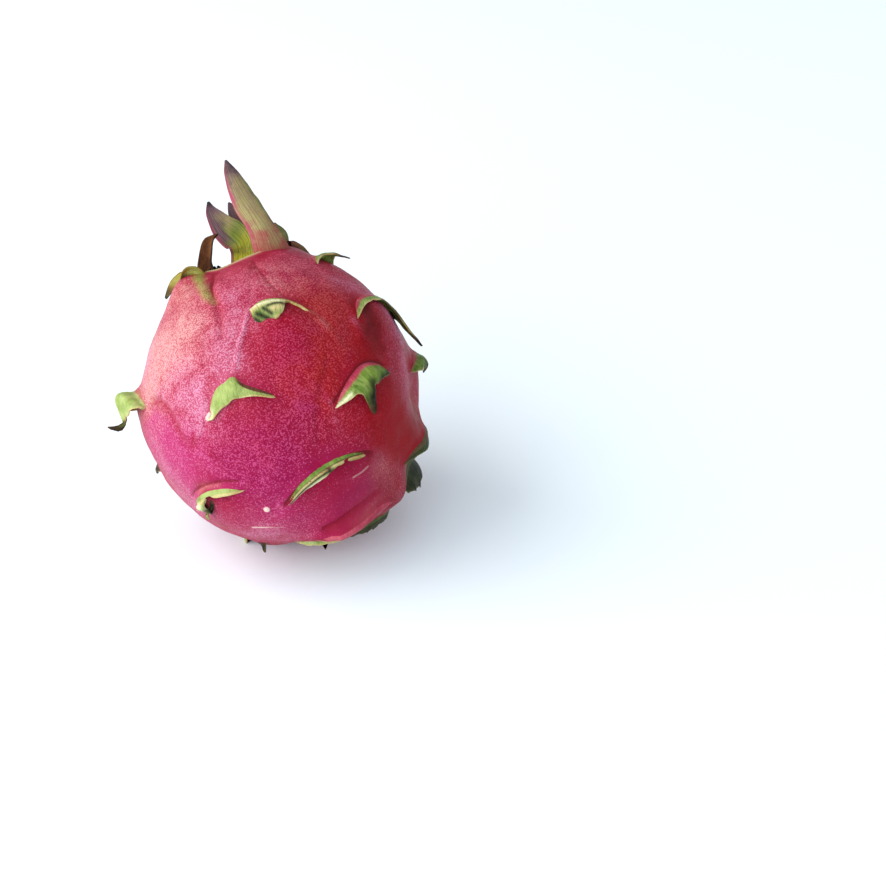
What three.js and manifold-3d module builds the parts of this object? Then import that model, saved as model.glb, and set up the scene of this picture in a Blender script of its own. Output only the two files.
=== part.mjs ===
// Dragon fruit (pitaya), whole: a round berry with leafy scales on its rind and a crown of longer
// scales round the crater that the flower left. Millimetres, +Z up.
//
// The fruit is drawn upright first: crown up along +Z, +X to its right, its front towards -Y. Then it
// is laid back on its lower flank, where the weight of the fruit has pressed a small flat spot.
import * as THREE from 'three';
import { mergeVertices } from 'three/addons/utils/BufferGeometryUtils.js';
import Module from 'manifold-3d';

// Body of the fruit.
const BODY_RADIUS = 45.2;
const BODY_HALF_LENGTH = 48.6;
const ROUND_SEGMENTS = 52;
const FLANK_STEPS = 26;

// How the fruit lies, in degrees from upright, and how deep the flat spot cuts into the flank.
const LEAN_BACK = 33;
const LEAN_LEFT = 15.2;
const REST_DEPTH = 1.0;
const REST_CLEAR = [12, 30];

// Crater at the crown end, which sits a little low and tips to the left with the rind round it, and
// the hollow round the scar of the stalk at the other end.
const CRATER_RADIUS = 12.6;
const CRATER_DEPTH = 7;
const CRATER_LIP = 0.7;
const CRATER_STEPS = 4;
const CRATER_SINK = 1.2;
const CRATER_TIP = 8;
const CRATER_REACH = 28;
const SCAR_RADIUS = 14.5;
const SCAR_DEPTH = 3.6;

// Relief of the rind: every scale sits at the top of a low swelling, and the rind above it flares
// out into the scale. The relief fades out by the crater, by the scar and at the resting spot, over
// the angles given here, and stands half above and half below the smooth body.
const SWELL_LENGTH = 21;
const SWELL_START = 3.5;
const FLARE_LENGTH = 4;
const FLARE_DROP = 3;
const RELIEF_LEVEL = 1.1;
const CROWN_CLEAR = [16, 30];
const SCAR_CLEAR = [4, 24];

// Scales: thick where they leave the rind, thin at the tip, rooted below the skin. Their roots are
// spread by a share of their thickness and sunk deeper towards their two ends.
const SCALE_ROOT_THICKNESS = 2.2;
const SCALE_TIP_THICKNESS = 0.75;
const SCALE_TAPER = 0.7;
const SCALE_ROOT_DEPTH = 2.2;
const SCALE_ROOT_SPREAD = 0.6;
const SCALE_SUNK = 0.4;
const SCALE_ENDS_SUNK = 0.7;
const SCALE_GATHER = 0.45;
const FOOT_END = 1.5;
const SCALE_COLUMNS = 8;
const SCALE_ROWS = 3;
const CROWN_COLUMNS = 4;
const CROWN_ROWS = 7;

// How a plain blade narrows from its point to its ends: more than one is pointed, less is rounded.
const PLAIN_POINT = 1.1;
const BLUNT_POINT = 0.42;
const SHARP_POINT = 1.6;

// The scales on the side that faces the front. down and around are degrees from the crown and from
// the front, width the span of the foot that the scale grows from and turn its slant. outline goes
// along that foot from its left end to its right: share of the half width, mm that the foot lies down
// there, and mm that the blade is long there. bend is the angles off the rind that the blade runs
// through from root to tip, swell the height of the swelling under it and flare that of the lip of
// rind above it.
const FRONT_SCALES = [
  {
    down: 53, around: 15, width: 18.4, turn: 0, bend: [55, 30, -20, -40], swell: 1.4, flare: 0.9,
    outline: [
      [-1, -1, 8], [-0.8, -1.1, 11], [-0.55, -1, 10.8], [-0.3, -0.4, 9], [0, 0.3, 6], [0.2, 1, 1.8],
      [0.6, 3.2, 1.2], [1, 7.2, 0.3],
    ],
  },
  {
    down: 81.5, around: -11.5, width: 26, turn: 0, bend: [30, 24, 10], swell: 1.8, flare: 0.6,
    outline: [
      [-1, 8.4, 1], [-0.78, 4.5, 4.4], [-0.54, 1.3, 5.8], [-0.3, 0.4, 6.2], [-0.02, -0.4, 6],
      [0.13, 2, 3.6], [0.3, 3.6, 2.2], [0.54, 5.3, 1.3], [1, 8.4, 0.3],
    ],
  },
  {
    down: 90, around: 37, width: 26, turn: 14, bend: [30, 45, -20, -35], swell: 1.6, flare: 1.3,
    outline: [
      [-1, 6.2, 0.6], [-0.67, 4.4, 2.4], [-0.3, 1.7, 4.8], [-0.08, 0.6, 8], [0.03, 0.1, 13.6],
      [0.2, -0.3, 13], [0.36, -0.2, 9.6], [0.65, 1, 6], [1, 4.4, 0.4],
    ],
  },
  {
    down: 60.5, around: 67, width: 31, turn: 5, bend: [30, 10, -14, -4], swell: 1.8, flare: 1.2,
    outline: [
      [-1, 4.6, 1.2], [-0.75, 1.4, 4], [-0.4, -0.3, 5.4], [0, 0, 5.4], [0.35, 0.9, 7], [0.52, 1.5, 12],
      [0.66, 2.4, 17], [0.84, 3.9, 8.5], [1, 5.5, 1],
    ],
  },
  {
    down: 31, around: 75, width: 18, turn: 0, bend: [15, 45, 0, -5], swell: 0.6, flare: 0.8,
    outline: plainOutline(4, 10, 0.3),
  },
  {
    down: 72, around: -84, width: 28, turn: 0, bend: [45, 90, 20, -45, 30], swell: 2.4, flare: 1.4,
    outline: [
      [-1, 6, 0.4], [-0.6, 2.2, 6.5], [-0.3, 0.5, 10], [0, 0, 13], [0.1, 0.1, 18], [0.25, 0.4, 11],
      [0.6, 2.2, 8], [1, 6, 0.4],
    ],
  },
  {
    down: 87, around: 95, width: 27, turn: 8, bend: [30, 45, -20, -50], swell: 1.8, flare: 1.4,
    outline: plainOutline(6, 9.5, 0.1),
  },
  {
    down: 101, around: -104, width: 26, turn: 0, bend: [30, 60, 20, 0], swell: 1.9, flare: 1,
    outline: plainOutline(5, 7, 0.3),
  },
  {
    down: 123.5, around: 16.5, width: 32, turn: 20, bend: [20, 40, -10, -30], swell: 2, flare: 1,
    outline: [
      [-1, 6.6, 1.6], [-0.78, 4, 3.6], [-0.54, 1.5, 5.7], [-0.18, -0.6, 6.6], [0.1, -0.95, 6.2],
      [0.3, -0.6, 3.8], [0.53, 0.8, 3.4], [0.8, 3.7, 2.2], [1, 7, 0.4],
    ],
  },
  {
    down: 121.5, around: -43, width: 28, turn: 3, bend: [25, 65, -25, -55], swell: 1.6, flare: 1.7,
    outline: [
      [-1, 4.4, 2], [-0.8, 2.6, 3.6], [-0.5, 1, 3.8], [-0.34, 0.4, 8.2], [-0.2, 0.1, 5.6],
      [-0.08, 0, 3], [0.3, 0.4, 3.1], [0.66, 2.1, 2.4], [1, 4.7, 0.3],
    ],
  },
  {
    down: 121, around: 84, width: 26, turn: 36, bend: [10, 20, 0, -20], swell: 2.8, flare: 3.6,
    outline: [
      [-1, 3.5, 0.3], [-0.6, 1.1, 2], [-0.2, 0.1, 3.2], [0.1, 0.1, 4.6], [0.35, 0.6, 7], [0.55, 1.2, 6],
      [0.8, 2.5, 3], [1, 4, 0.5],
    ],
  },
  {
    down: 131.5, around: 101, width: 21, turn: 38, bend: [40, 60, 35, 10], swell: 2.4, flare: 1.2,
    outline: plainOutline(3, 9, 0.1, BLUNT_POINT),
  },
  {
    down: 152, around: 40, width: 30, turn: 26, bend: [5, -10, -20], swell: 2.6, flare: 3.2,
    outline: plainOutline(4, 3, 0, BLUNT_POINT),
  },
  {
    down: 156, around: 74, width: 22, turn: 38, bend: [35, 25, 0], swell: 1.6, flare: 0.8,
    outline: plainOutline(3, 8, 0, BLUNT_POINT),
  },
  {
    down: 169, around: 20, width: 19, turn: 0, bend: [30, 50, 40], swell: 0.6, flare: 0.6,
    outline: plainOutline(2, 4, 0.1, BLUNT_POINT),
  },
  {
    down: 157, around: -70, width: 9, turn: 0, bend: [40, 70, 60], swell: 0.8, flare: 0.5,
    outline: plainOutline(2, 5, 0, SHARP_POINT),
  },
];

// Hollows between the swellings, and one low bulge: degrees from the crown and from the front, radius
// and depth in mm.
const HOLLOWS = [
  { down: 103, around: 83, radius: 9, depth: 2.8 },
  { down: 131, around: 78, radius: 6, depth: 3 },
  { down: 74, around: 84, radius: 8, depth: 0.8 },
  { down: 130, around: 50, radius: 6, depth: 1.3 },
  { down: 141, around: 68, radius: 7, depth: -1.6 },
];

// Round the back the same staggered rings go on, each with a little chance in place and size.
const BACK_RINGS = [
  { down: 28, around: [152, 212] },
  { down: 57, around: [122, 177, 232] },
  { down: 86, around: [148, 204] },
  { down: 112, around: [126, 176, 226] },
  { down: 140, around: [144, 238] },
  { down: 161, around: [172] },
];
const BACK_SEED = 7;
const BACK_SPREAD = { down: 3, around: 6, width: 3, turn: 12, reach: 2, tip: 0.5, lift: 12, swell: 0.3 };
const BACK_SCALE = { width: 25, rise: 5, reach: 7.5, lift: 62, hang: -5, swell: 1.7, flare: 1.1 };
const BACK_LEAST_WIDTH = 0.65;

// Crown scales. Each knot is a place on the blade's middle line and its width there. breadth is the
// bearing of that width at root and point, hollow how far its sides lift as a share of it, and thick
// its thickness at the root.
const CROWN_SCALES = [
  {
    knots: [[10.8, -10.2, 39, 15], [9.7, -9, 51.6, 10.4], [5.9, -6, 64.5, 8.2], [3.1, -3.5, 78.9, 1.2]],
    breadth: [112, 100], hollow: -0.14, thick: 2.8,
  },
  {
    knots: [
      [-2.8, 11.5, 40, 8.4], [-1.1, 11.8, 47.4, 7.8], [-0.4, 12.6, 54.1, 8.2], [-3.7, 12, 59.4, 8.7],
      [-7, 10.5, 69.4, 1.2],
    ],
    breadth: [92, 88], hollow: 0.14, thick: 2.4,
  },
  {
    knots: [[-0.5, 15, 41, 6.5], [0.5, 15, 53.4, 6.5], [0.8, 15, 58.9, 6.2], [-0.6, 14, 68, 1.2]],
    breadth: [110, 110], hollow: 0.14, thick: 2.2,
  },
  {
    knots: [[13, -1, 41, 9], [14.9, 0, 51.5, 7], [13.7, 0, 55.8, 1.4]],
    breadth: [160, 160], hollow: 0.16, thick: 2.4,
  },
  {
    knots: [[-12.4, -3.6, 40, 5.5], [-11.8, -3, 47.9, 4.2], [-10.2, -3, 51.9, 4.4], [-6.2, -1, 56.6, 1.8]],
    breadth: [60, 60], hollow: 0.2, thick: 2,
  },
  {
    knots: [
      [-12.6, -7, 39, 12], [-14.4, -7, 46.4, 9], [-17.2, -6.5, 47.4, 8], [-20.6, -6, 45.4, 6.8],
      [-25.8, -5, 41.2, 1.6],
    ],
    breadth: [205, 225], hollow: 0.16, thick: 2.4,
  },
];
const CROWN_TIP_THICKNESS = 0.95;
const CROWN_TAPER = 0.8;
const CROWN_EDGE = 0.35;

const RIND_COLOUR = 0xb8264f;
const BOX_SIZE = 400;
const MERGE_DISTANCE = 1e-4;
const { clamp, degToRad: radians, lerp, radToDeg } = THREE.MathUtils;

// Repeatable chance, from -1 to 1.
function makeChance(seed) {
  let state = seed;
  return () => {
    state = (state * 16807) % 2147483647;
    return (2 * state) / 2147483647 - 1;
  };
}

// Value that runs evenly through a list of values as part goes from 0 to 1.
function through(values, part) {
  const place = clamp(part, 0, 1) * (values.length - 1);
  const index = Math.min(Math.floor(place), values.length - 2);
  return lerp(values[index], values[index + 1], place - index);
}

// Outline of a plain scale: its foot is an arch and its blade narrows to both ends from its tip.
function plainOutline(rise, reach, tip, point = PLAIN_POINT) {
  const outline = [];
  for (let column = 0; column <= SCALE_COLUMNS; column += 1) {
    const share = (2 * column) / SCALE_COLUMNS - 1;
    const side = share < tip ? (tip - share) / (tip + 1) : (share - tip) / (1 - tip);
    outline.push([share, rise * share ** 2, reach * (1 - side) ** point]);
  }
  return outline;
}

// Unit vector from the middle of the upright fruit.
function direction(down, around) {
  const sine = Math.sin(radians(down));
  const side = sine * Math.sin(radians(around));
  const back = -sine * Math.cos(radians(around));
  return new THREE.Vector3(side, back, Math.cos(radians(down)));
}

const layBack = new THREE.Matrix4().makeRotationFromEuler(
  new THREE.Euler(-radians(LEAN_BACK), -radians(LEAN_LEFT), 0, 'XYZ'),
);

// Where the smooth body has its lowest point as it lies, in the upright fruit's frame.
function restPoint() {
  const floorward = new THREE.Vector3(0, 0, -1).transformDirection(layBack.clone().invert());
  const point = new THREE.Vector3(
    floorward.x * BODY_RADIUS ** 2,
    floorward.y * BODY_RADIUS ** 2,
    floorward.z * BODY_HALF_LENGTH ** 2,
  );
  const reach = Math.sqrt(point.dot(floorward));
  return point.divideScalar(reach);
}

const REST_POINT = restPoint();
const REST_DIRECTION = REST_POINT.clone().normalize();

// A scale with the axes of its place on the body: out, across to its right, and down to the stalk.
function placeScale(scale) {
  const out = direction(scale.down, scale.around);
  const around = radians(scale.around);
  const across = new THREE.Vector3(Math.cos(around), Math.sin(around), 0);
  across.applyAxisAngle(out, radians(scale.turn));
  const downward = new THREE.Vector3().crossVectors(across, out);
  return { ...scale, out, across, downward };
}

function backScales() {
  const chance = makeChance(BACK_SEED);
  const scales = [];
  for (const ring of BACK_RINGS) {
    const slimming = Math.max(BACK_LEAST_WIDTH, Math.sin(radians(ring.down)));
    for (const around of ring.around) {
      const down = ring.down + BACK_SPREAD.down * chance();
      const moved = around + BACK_SPREAD.around * chance();
      const width = (BACK_SCALE.width + BACK_SPREAD.width * chance()) * slimming;
      const turn = BACK_SPREAD.turn * chance();
      const reach = BACK_SCALE.reach + BACK_SPREAD.reach * chance();
      const tip = BACK_SPREAD.tip * chance();
      const lift = BACK_SCALE.lift + BACK_SPREAD.lift * chance();
      const swell = BACK_SCALE.swell + BACK_SPREAD.swell * chance();
      scales.push({
        down,
        around: moved,
        width,
        turn,
        bend: [lift, BACK_SCALE.hang],
        swell,
        flare: BACK_SCALE.flare,
        outline: plainOutline(BACK_SCALE.rise, reach, tip),
      });
    }
  }
  return scales;
}

const SCALES = [...FRONT_SCALES, ...backScales()].map(placeScale);

function smoothStep(from, to, value) {
  return THREE.MathUtils.smoothstep(value, from, to);
}

// How far down the foot of a scale lies, at a share of its half width.
function footAt(scale, share) {
  const { outline } = scale;
  const next = outline.findIndex((knot) => knot[0] > share);
  const right = next < 0 ? outline.length - 1 : Math.max(next, 1);
  const [from, to] = [outline[right - 1], outline[right]];
  return lerp(from[1], to[1], (clamp(share, -FOOT_END, FOOT_END) - from[0]) / (to[0] - from[0]));
}

// Distances across and down from the middle of a scale's foot, measured along the body.
function localPlace(scale, unit) {
  const angle = Math.acos(clamp(unit.dot(scale.out), -1, 1));
  const stretch = angle > 1e-6 ? (angle / Math.sin(angle)) * BODY_RADIUS : BODY_RADIUS;
  const across = unit.dot(scale.across) * stretch;
  return { across, down: unit.dot(scale.downward) * stretch, angle };
}

// Height of the rind above the smooth body.
function relief(unit) {
  let height = 0;
  for (const scale of SCALES) {
    const place = localPlace(scale, unit);
    if (place.angle > Math.PI / 2) continue;
    const share = place.across / (scale.width / 2);
    const below = place.down - footAt(scale, share);
    const fall = Math.exp(-((Math.max(below, 0) / SWELL_LENGTH) ** 2));
    const swelling = smoothStep(-SWELL_START, SWELL_START, below) * fall * Math.exp(-(share ** 2));
    const flare = below < 0 ? Math.exp(below / FLARE_LENGTH) : Math.exp(-below / FLARE_DROP);
    height += scale.swell * swelling + scale.flare * flare * Math.max(0, 1 - share ** 2);
  }
  for (const hollow of HOLLOWS) {
    const away = unit.distanceTo(direction(hollow.down, hollow.around)) * BODY_RADIUS;
    height -= hollow.depth * Math.exp(-((away / hollow.radius) ** 2));
  }
  const crownAngle = radToDeg(Math.acos(unit.z));
  const restAngle = radToDeg(unit.angleTo(REST_DIRECTION));
  const ends = smoothStep(...CROWN_CLEAR, crownAngle) * smoothStep(...SCAR_CLEAR, 180 - crownAngle);
  return (height - RELIEF_LEVEL) * ends * smoothStep(...REST_CLEAR, restAngle);
}

// The smooth upright body's point with its relief, the crater's tip and the hollow round the scar.
function shapedPoint(point, lift = 0) {
  const unit = point.clone().normalize();
  const shaped = point.clone().addScaledVector(unit, relief(unit) + lift);
  const round = Math.hypot(point.x, point.y);
  if (point.z > 0) {
    const share = 1 - smoothStep(CRATER_RADIUS, CRATER_REACH, round);
    shaped.z += share * (Math.tan(radians(CRATER_TIP)) * point.x - CRATER_SINK);
  } else {
    shaped.z += SCAR_DEPTH * Math.exp(-((round / SCAR_RADIUS) ** 2));
  }
  return shaped;
}

// Point of the rind in a direction from the middle.
function rindPoint(unit, lift) {
  const round = Math.hypot(unit.x, unit.y) / BODY_RADIUS;
  const radius = 1 / Math.hypot(round, unit.z / BODY_HALF_LENGTH);
  return shapedPoint(unit.clone().multiplyScalar(radius), lift);
}

// Half outline of the upright body, from the middle of the crater to the scar of the stalk.
function bodyProfile() {
  const rimHeight = BODY_HALF_LENGTH * Math.sqrt(1 - (CRATER_RADIUS / BODY_RADIUS) ** 2);
  const profile = [];
  for (let step = 0; step <= CRATER_STEPS; step += 1) {
    const turn = (step / CRATER_STEPS) * (Math.PI / 2);
    const radius = (CRATER_RADIUS - 2 * CRATER_LIP) * Math.sin(turn);
    profile.push(new THREE.Vector2(radius, rimHeight - CRATER_DEPTH * Math.cos(turn)));
  }
  profile.push(new THREE.Vector2(CRATER_RADIUS - CRATER_LIP, rimHeight + CRATER_LIP));
  const start = Math.asin(CRATER_RADIUS / BODY_RADIUS);
  for (let step = 0; step <= FLANK_STEPS; step += 1) {
    const turn = start + ((Math.PI - start) * step) / FLANK_STEPS;
    const radius = step === FLANK_STEPS ? 0 : BODY_RADIUS * Math.sin(turn);
    profile.push(new THREE.Vector2(radius, BODY_HALF_LENGTH * Math.cos(turn)));
  }
  return profile;
}

function bodyGeometry() {
  const geometry = new THREE.LatheGeometry(bodyProfile().reverse(), ROUND_SEGMENTS);
  geometry.rotateX(Math.PI / 2);
  const position = geometry.attributes.position;
  for (let index = 0; index < position.count; index += 1) {
    const shaped = shapedPoint(new THREE.Vector3().fromBufferAttribute(position, index));
    position.setXYZ(index, shaped.x, shaped.y, shaped.z);
  }
  return geometry;
}

// A closed thin blade between a face and a back, each rows of points from root to tip.
function bladeGeometry(face, back) {
  const rows = face.length;
  const columns = face[0].length;
  const lastRow = rows - 1;
  const lastColumn = columns - 1;
  const index = [];
  const faceAt = (row, column) => row * columns + column;
  const backAt = (row, column) => (rows + row) * columns + column;
  const quad = (a, b, c, d) => index.push(a, b, c, a, c, d);
  for (let row = 0; row < lastRow; row += 1) {
    const up = row + 1;
    for (let column = 0; column < lastColumn; column += 1) {
      const next = column + 1;
      quad(faceAt(row, column), faceAt(up, column), faceAt(up, next), faceAt(row, next));
      quad(backAt(row, column), backAt(row, next), backAt(up, next), backAt(up, column));
    }
    quad(faceAt(row, 0), backAt(row, 0), backAt(up, 0), faceAt(up, 0));
    quad(faceAt(row, lastColumn), faceAt(up, lastColumn), backAt(up, lastColumn), backAt(row, lastColumn));
  }
  for (let column = 0; column < lastColumn; column += 1) {
    const next = column + 1;
    quad(faceAt(0, column), faceAt(0, next), backAt(0, next), backAt(0, column));
    quad(faceAt(lastRow, column), backAt(lastRow, column), backAt(lastRow, next), faceAt(lastRow, next));
  }
  const geometry = new THREE.BufferGeometry().setFromPoints([...face.flat(), ...back.flat()]);
  geometry.setIndex(index);
  return geometry;
}

// A scale of the rind: it leaves its foot outwards, then runs through its bends.
function scaleGeometry(scale) {
  const face = Array.from({ length: SCALE_ROWS + 2 }, () => []);
  const back = Array.from({ length: SCALE_ROWS + 2 }, () => []);
  const tip = scale.outline.reduce((most, knot) => (knot[2] > most[2] ? knot : most))[0];
  for (const [share, foot, length] of scale.outline) {
    const unit = scale.out.clone().addScaledVector(scale.across, (scale.width / 2 / BODY_RADIUS) * share);
    unit.addScaledVector(scale.downward, foot / BODY_RADIUS).normalize();
    const point = rindPoint(unit, -SCALE_SUNK - SCALE_ENDS_SUNK * Math.abs(share) ** 3);
    const along = scale.downward.clone().addScaledVector(scale.across, (tip - share) * SCALE_GATHER);
    along.addScaledVector(unit, -along.dot(unit)).normalize();
    const root = point.clone().addScaledVector(unit, -SCALE_ROOT_DEPTH);
    const spread = SCALE_ROOT_THICKNESS * SCALE_ROOT_SPREAD;
    face[0].push(root.clone().addScaledVector(along, -spread));
    back[0].push(root.clone().addScaledVector(along, spread));
    for (let row = 0; row <= SCALE_ROWS; row += 1) {
      const part = row / SCALE_ROWS;
      const angle = radians(through(scale.bend, part));
      const step = row === 0 ? 0 : length / SCALE_ROWS;
      point.addScaledVector(along, Math.cos(angle) * step);
      point.addScaledVector(unit, Math.sin(angle) * step);
      const half = lerp(SCALE_ROOT_THICKNESS, SCALE_TIP_THICKNESS, part ** SCALE_TAPER) / 2;
      const normal = unit.clone().multiplyScalar(Math.cos(angle));
      normal.addScaledVector(along, -Math.sin(angle));
      face[row + 1].push(point.clone().addScaledVector(normal, half));
      back[row + 1].push(point.clone().addScaledVector(normal, -half));
    }
  }
  return bladeGeometry(face, back);
}

// A crown scale: a long blade, hollowed along its face, from the crater's rim to its point.
function crownGeometry(scale) {
  const midrib = new THREE.CatmullRomCurve3(scale.knots.map(([x, y, z]) => new THREE.Vector3(x, y, z)));
  const widths = scale.knots.map((knot) => knot[3]);
  const face = [];
  const back = [];
  for (let row = 0; row <= CROWN_ROWS; row += 1) {
    const part = row / CROWN_ROWS;
    const along = midrib.getTangent(part);
    const spread = direction(90, through(scale.breadth, part));
    const side = spread.addScaledVector(along, -spread.dot(along)).normalize();
    const normal = new THREE.Vector3().crossVectors(side, along);
    const width = through(widths, part);
    const half = lerp(scale.thick, CROWN_TIP_THICKNESS, part ** CROWN_TAPER) / 2;
    face.push([]);
    back.push([]);
    for (let column = 0; column <= CROWN_COLUMNS; column += 1) {
      const share = (2 * column) / CROWN_COLUMNS - 1;
      const point = midrib.getPoint(part).addScaledVector(side, (width / 2) * share);
      point.addScaledVector(normal, scale.hollow * width * share ** 2);
      const thin = half * (1 - CROWN_EDGE * share ** 2);
      face[row].push(point.clone().addScaledVector(normal, thin));
      back[row].push(point.clone().addScaledVector(normal, -thin));
    }
  }
  return bladeGeometry(face, back);
}

const wasm = await Module();
wasm.setup();

// Closed geometry as a solid, with shared corners merged and empty triangles left out.
function solid(geometry) {
  const bare = geometry.clone();
  bare.deleteAttribute('normal');
  bare.deleteAttribute('uv');
  const merged = mergeVertices(bare, MERGE_DISTANCE);
  const corners = merged.index.array;
  const kept = [];
  for (let index = 0; index < corners.length; index += 3) {
    const [a, b, c] = corners.slice(index, index + 3);
    if (a !== b && b !== c && c !== a) kept.push(a, b, c);
  }
  return new wasm.Manifold(new wasm.Mesh({
    numProp: 3,
    vertProperties: Float32Array.from(merged.attributes.position.array),
    triVerts: Uint32Array.from(kept),
  }));
}

// A solid's surface as three.js geometry.
function surface(made) {
  const mesh = made.getMesh();
  const geometry = new THREE.BufferGeometry();
  const position = Float32Array.from(mesh.vertProperties);
  geometry.setAttribute('position', new THREE.BufferAttribute(position, 3));
  geometry.setIndex(Array.from(mesh.triVerts));
  return geometry;
}

// A blade may come out with its faces turned in, so its volume tells which way round it goes.
function blade(geometry) {
  const made = solid(geometry);
  if (made.volume() > 0) return made;
  const index = Array.from(geometry.index.array).reverse();
  geometry.setIndex(index);
  return solid(geometry);
}

// The outside alone: pockets sealed between a scale and the rind are filled.
function filled(made) {
  return made.decompose().reduce((most, shell) => (shell.volume() > most.volume() ? shell : most));
}

function fruitGeometry() {
  let fruit = solid(bodyGeometry());
  for (const scale of SCALES) fruit = fruit.add(blade(scaleGeometry(scale)));
  for (const scale of CROWN_SCALES) fruit = fruit.add(blade(crownGeometry(scale)));
  const lowest = REST_POINT.clone().applyMatrix4(layBack);
  const laid = surface(fruit).applyMatrix4(layBack);
  laid.translate(-lowest.x, -lowest.y, -lowest.z - REST_DEPTH);
  const underfoot = new THREE.BoxGeometry(BOX_SIZE, BOX_SIZE, BOX_SIZE).translate(0, 0, -BOX_SIZE / 2);
  const geometry = surface(filled(solid(laid).subtract(solid(underfoot))));
  geometry.computeVertexNormals();
  return geometry;
}

const rind = new THREE.MeshStandardMaterial({ color: RIND_COLOUR, roughness: 0.42, metalness: 0 });
const fruit = new THREE.Mesh(fruitGeometry(), rind);
fruit.name = 'dragon_fruit';

const group = new THREE.Group();
group.add(fruit);
export default group;
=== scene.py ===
"""A whole dragon fruit (pitaya) lying back on a pale surface: rind with its swellings, curled leafy
scales, and the crown of longer scales round the crater that the flower left.

The fruit is worked out upright, in millimetres: crown up along +Z, +X to its right, its front
towards -Y. Then it is laid back on its flank and taken to metres. Places on the rind are degrees down
from the crown and round from the front."""

import math

import bmesh
import bpy
import numpy as np
from mathutils import Matrix, Vector, noise


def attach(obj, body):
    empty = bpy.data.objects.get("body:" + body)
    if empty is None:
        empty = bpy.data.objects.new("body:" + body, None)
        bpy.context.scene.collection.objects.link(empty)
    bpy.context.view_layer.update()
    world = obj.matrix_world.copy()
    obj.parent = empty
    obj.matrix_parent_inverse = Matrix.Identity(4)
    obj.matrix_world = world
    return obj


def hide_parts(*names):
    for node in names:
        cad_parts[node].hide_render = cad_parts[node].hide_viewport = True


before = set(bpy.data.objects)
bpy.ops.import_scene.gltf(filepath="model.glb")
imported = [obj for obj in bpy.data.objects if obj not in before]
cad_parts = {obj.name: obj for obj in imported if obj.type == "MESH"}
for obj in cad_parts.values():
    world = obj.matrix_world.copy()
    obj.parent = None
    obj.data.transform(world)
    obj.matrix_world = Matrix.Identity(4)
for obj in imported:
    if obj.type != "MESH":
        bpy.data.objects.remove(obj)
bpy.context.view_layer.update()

NODE = "dragon_fruit"
BODY = "root"
MM = 0.001
CHANCE_STEP = 16807
CHANCE_SIZE = 2147483647

# Body of the fruit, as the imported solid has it.
BODY_RADIUS = 45.2
BODY_HALF_LENGTH = 48.6
LEAN_BACK = 33
LEAN_LEFT = 15.2
REST_DEPTH = 1.0
REST_CLEAR = (12, 30)

# Crater at the crown end and hollow round the scar of the stalk. Wall, lip, rim and pit are in shares
# of the crater's radius, the lip and the rim as (place, width).
CRATER_RADIUS = 12.6
CRATER_DEPTH = 7.0
CRATER_WALL = (0.72, 1.02)
CRATER_LIP = (1.03, 0.06)
CRATER_LIP_HEIGHT = 0.5
CRATER_RIM = (1.02, 0.058)
CRATER_PIT = (0.75, 0.97)
CRATER_SINK = 1.2
CRATER_TIP = 8
CRATER_REACH = 28
SCAR_RADIUS = 14.5
SCAR_DEPTH = 3.6
STUB_RADIUS = 3.8
STUB_HEIGHT = 1.0
STUB_EDGE = 0.6
STUB_TONE = (0.9, 1.3)

# Relief of the rind round each scale's foot, in the half of the fruit that faces the scale.
FACING_LEAST = 0.35
SWELL_LENGTH = 21
SWELL_START = 3.5
FLARE_DROP = 0.7
RELIEF_LEVEL = 1.1
CROWN_CLEAR = (16, 30)
CROWN_BARE = (16, 32)
SCAR_CLEAR = (4, 24)
RIDGE_WIDTH = 1.1
RIDGE_LENGTH = 6.0
RIDGE_HEIGHT = 0.4
RIDGE_START = 3
RIDGE_RISE = 0.8
# How strongly the ridges are painted pale: a painted highlight along them.
RIDGE_HIGHLIGHT = 0.8
RIDGE_SPREAD = 0.004
AXIL_WIDTH = 0.8
AXIL_DEPTH = 0.8
AXIL_ENDS = (1.02, 0.8)
DEEP_START = (-1, 4)
# How far below each foot, and from how far above it, the rind is darkened: partly its deeper colour
# there, partly painted shade under the blade.
UNDER_LENGTH = 2.2
UNDER_ABOVE = 0.5
LUMP_HEIGHT = 0.3
LUMP_SIZE = 9.0
SMALL_LUMP_SHARE = 0.4
SMALL_LUMP_SIZE = 3.5
LUMP_SHIFT = (7.3, 3.1, 5.7)

# Mesh counts and the masks that the materials read.
BODY_CUTS = 127
SCALE_COLUMNS = 40
ROOT_ROWS = 6
BLADE_ROWS = 20
CROWN_COLUMNS = 20
CROWN_ROWS = 48
# Of the rind's masks, the crease and fold masks are painted shade in the grooves, under is painted shade
# just below the scales over a deeper colour there, pale is painted sheen and highlight, salmon is in part
# painted sheen and crimson in part painted shade.
RIND_MASKS = ("deep", "pale", "under", "bare", "crease", "fold_shade", "cork", "leaf", "salmon", "magenta",
              "pink", "brown", "crimson", "russet", "rim", "pit")
SCALE_MASKS = ("green", "edge", "dry", "dark", "torn", "cream", "light", "rim_shade")
CROWN_MASKS = ("green", "pink", "purple", "yellow", "dry", "burnt", "skin")

# Root of a scale: how far up under the skin it runs, how deep it lies there and how thick it is.
ROOT_RUN = 2.6
ROOT_RUN_LEAST = 0.3
ROOT_ABOVE = 0.4
ROOT_SUNK = 0.45
ROOT_PROUD = 0.2
ROOT_SIDE_SUNK = 0.8
ROOT_SIDE_FALL = 6
ROOT_THICKNESS = 2.0

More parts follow.
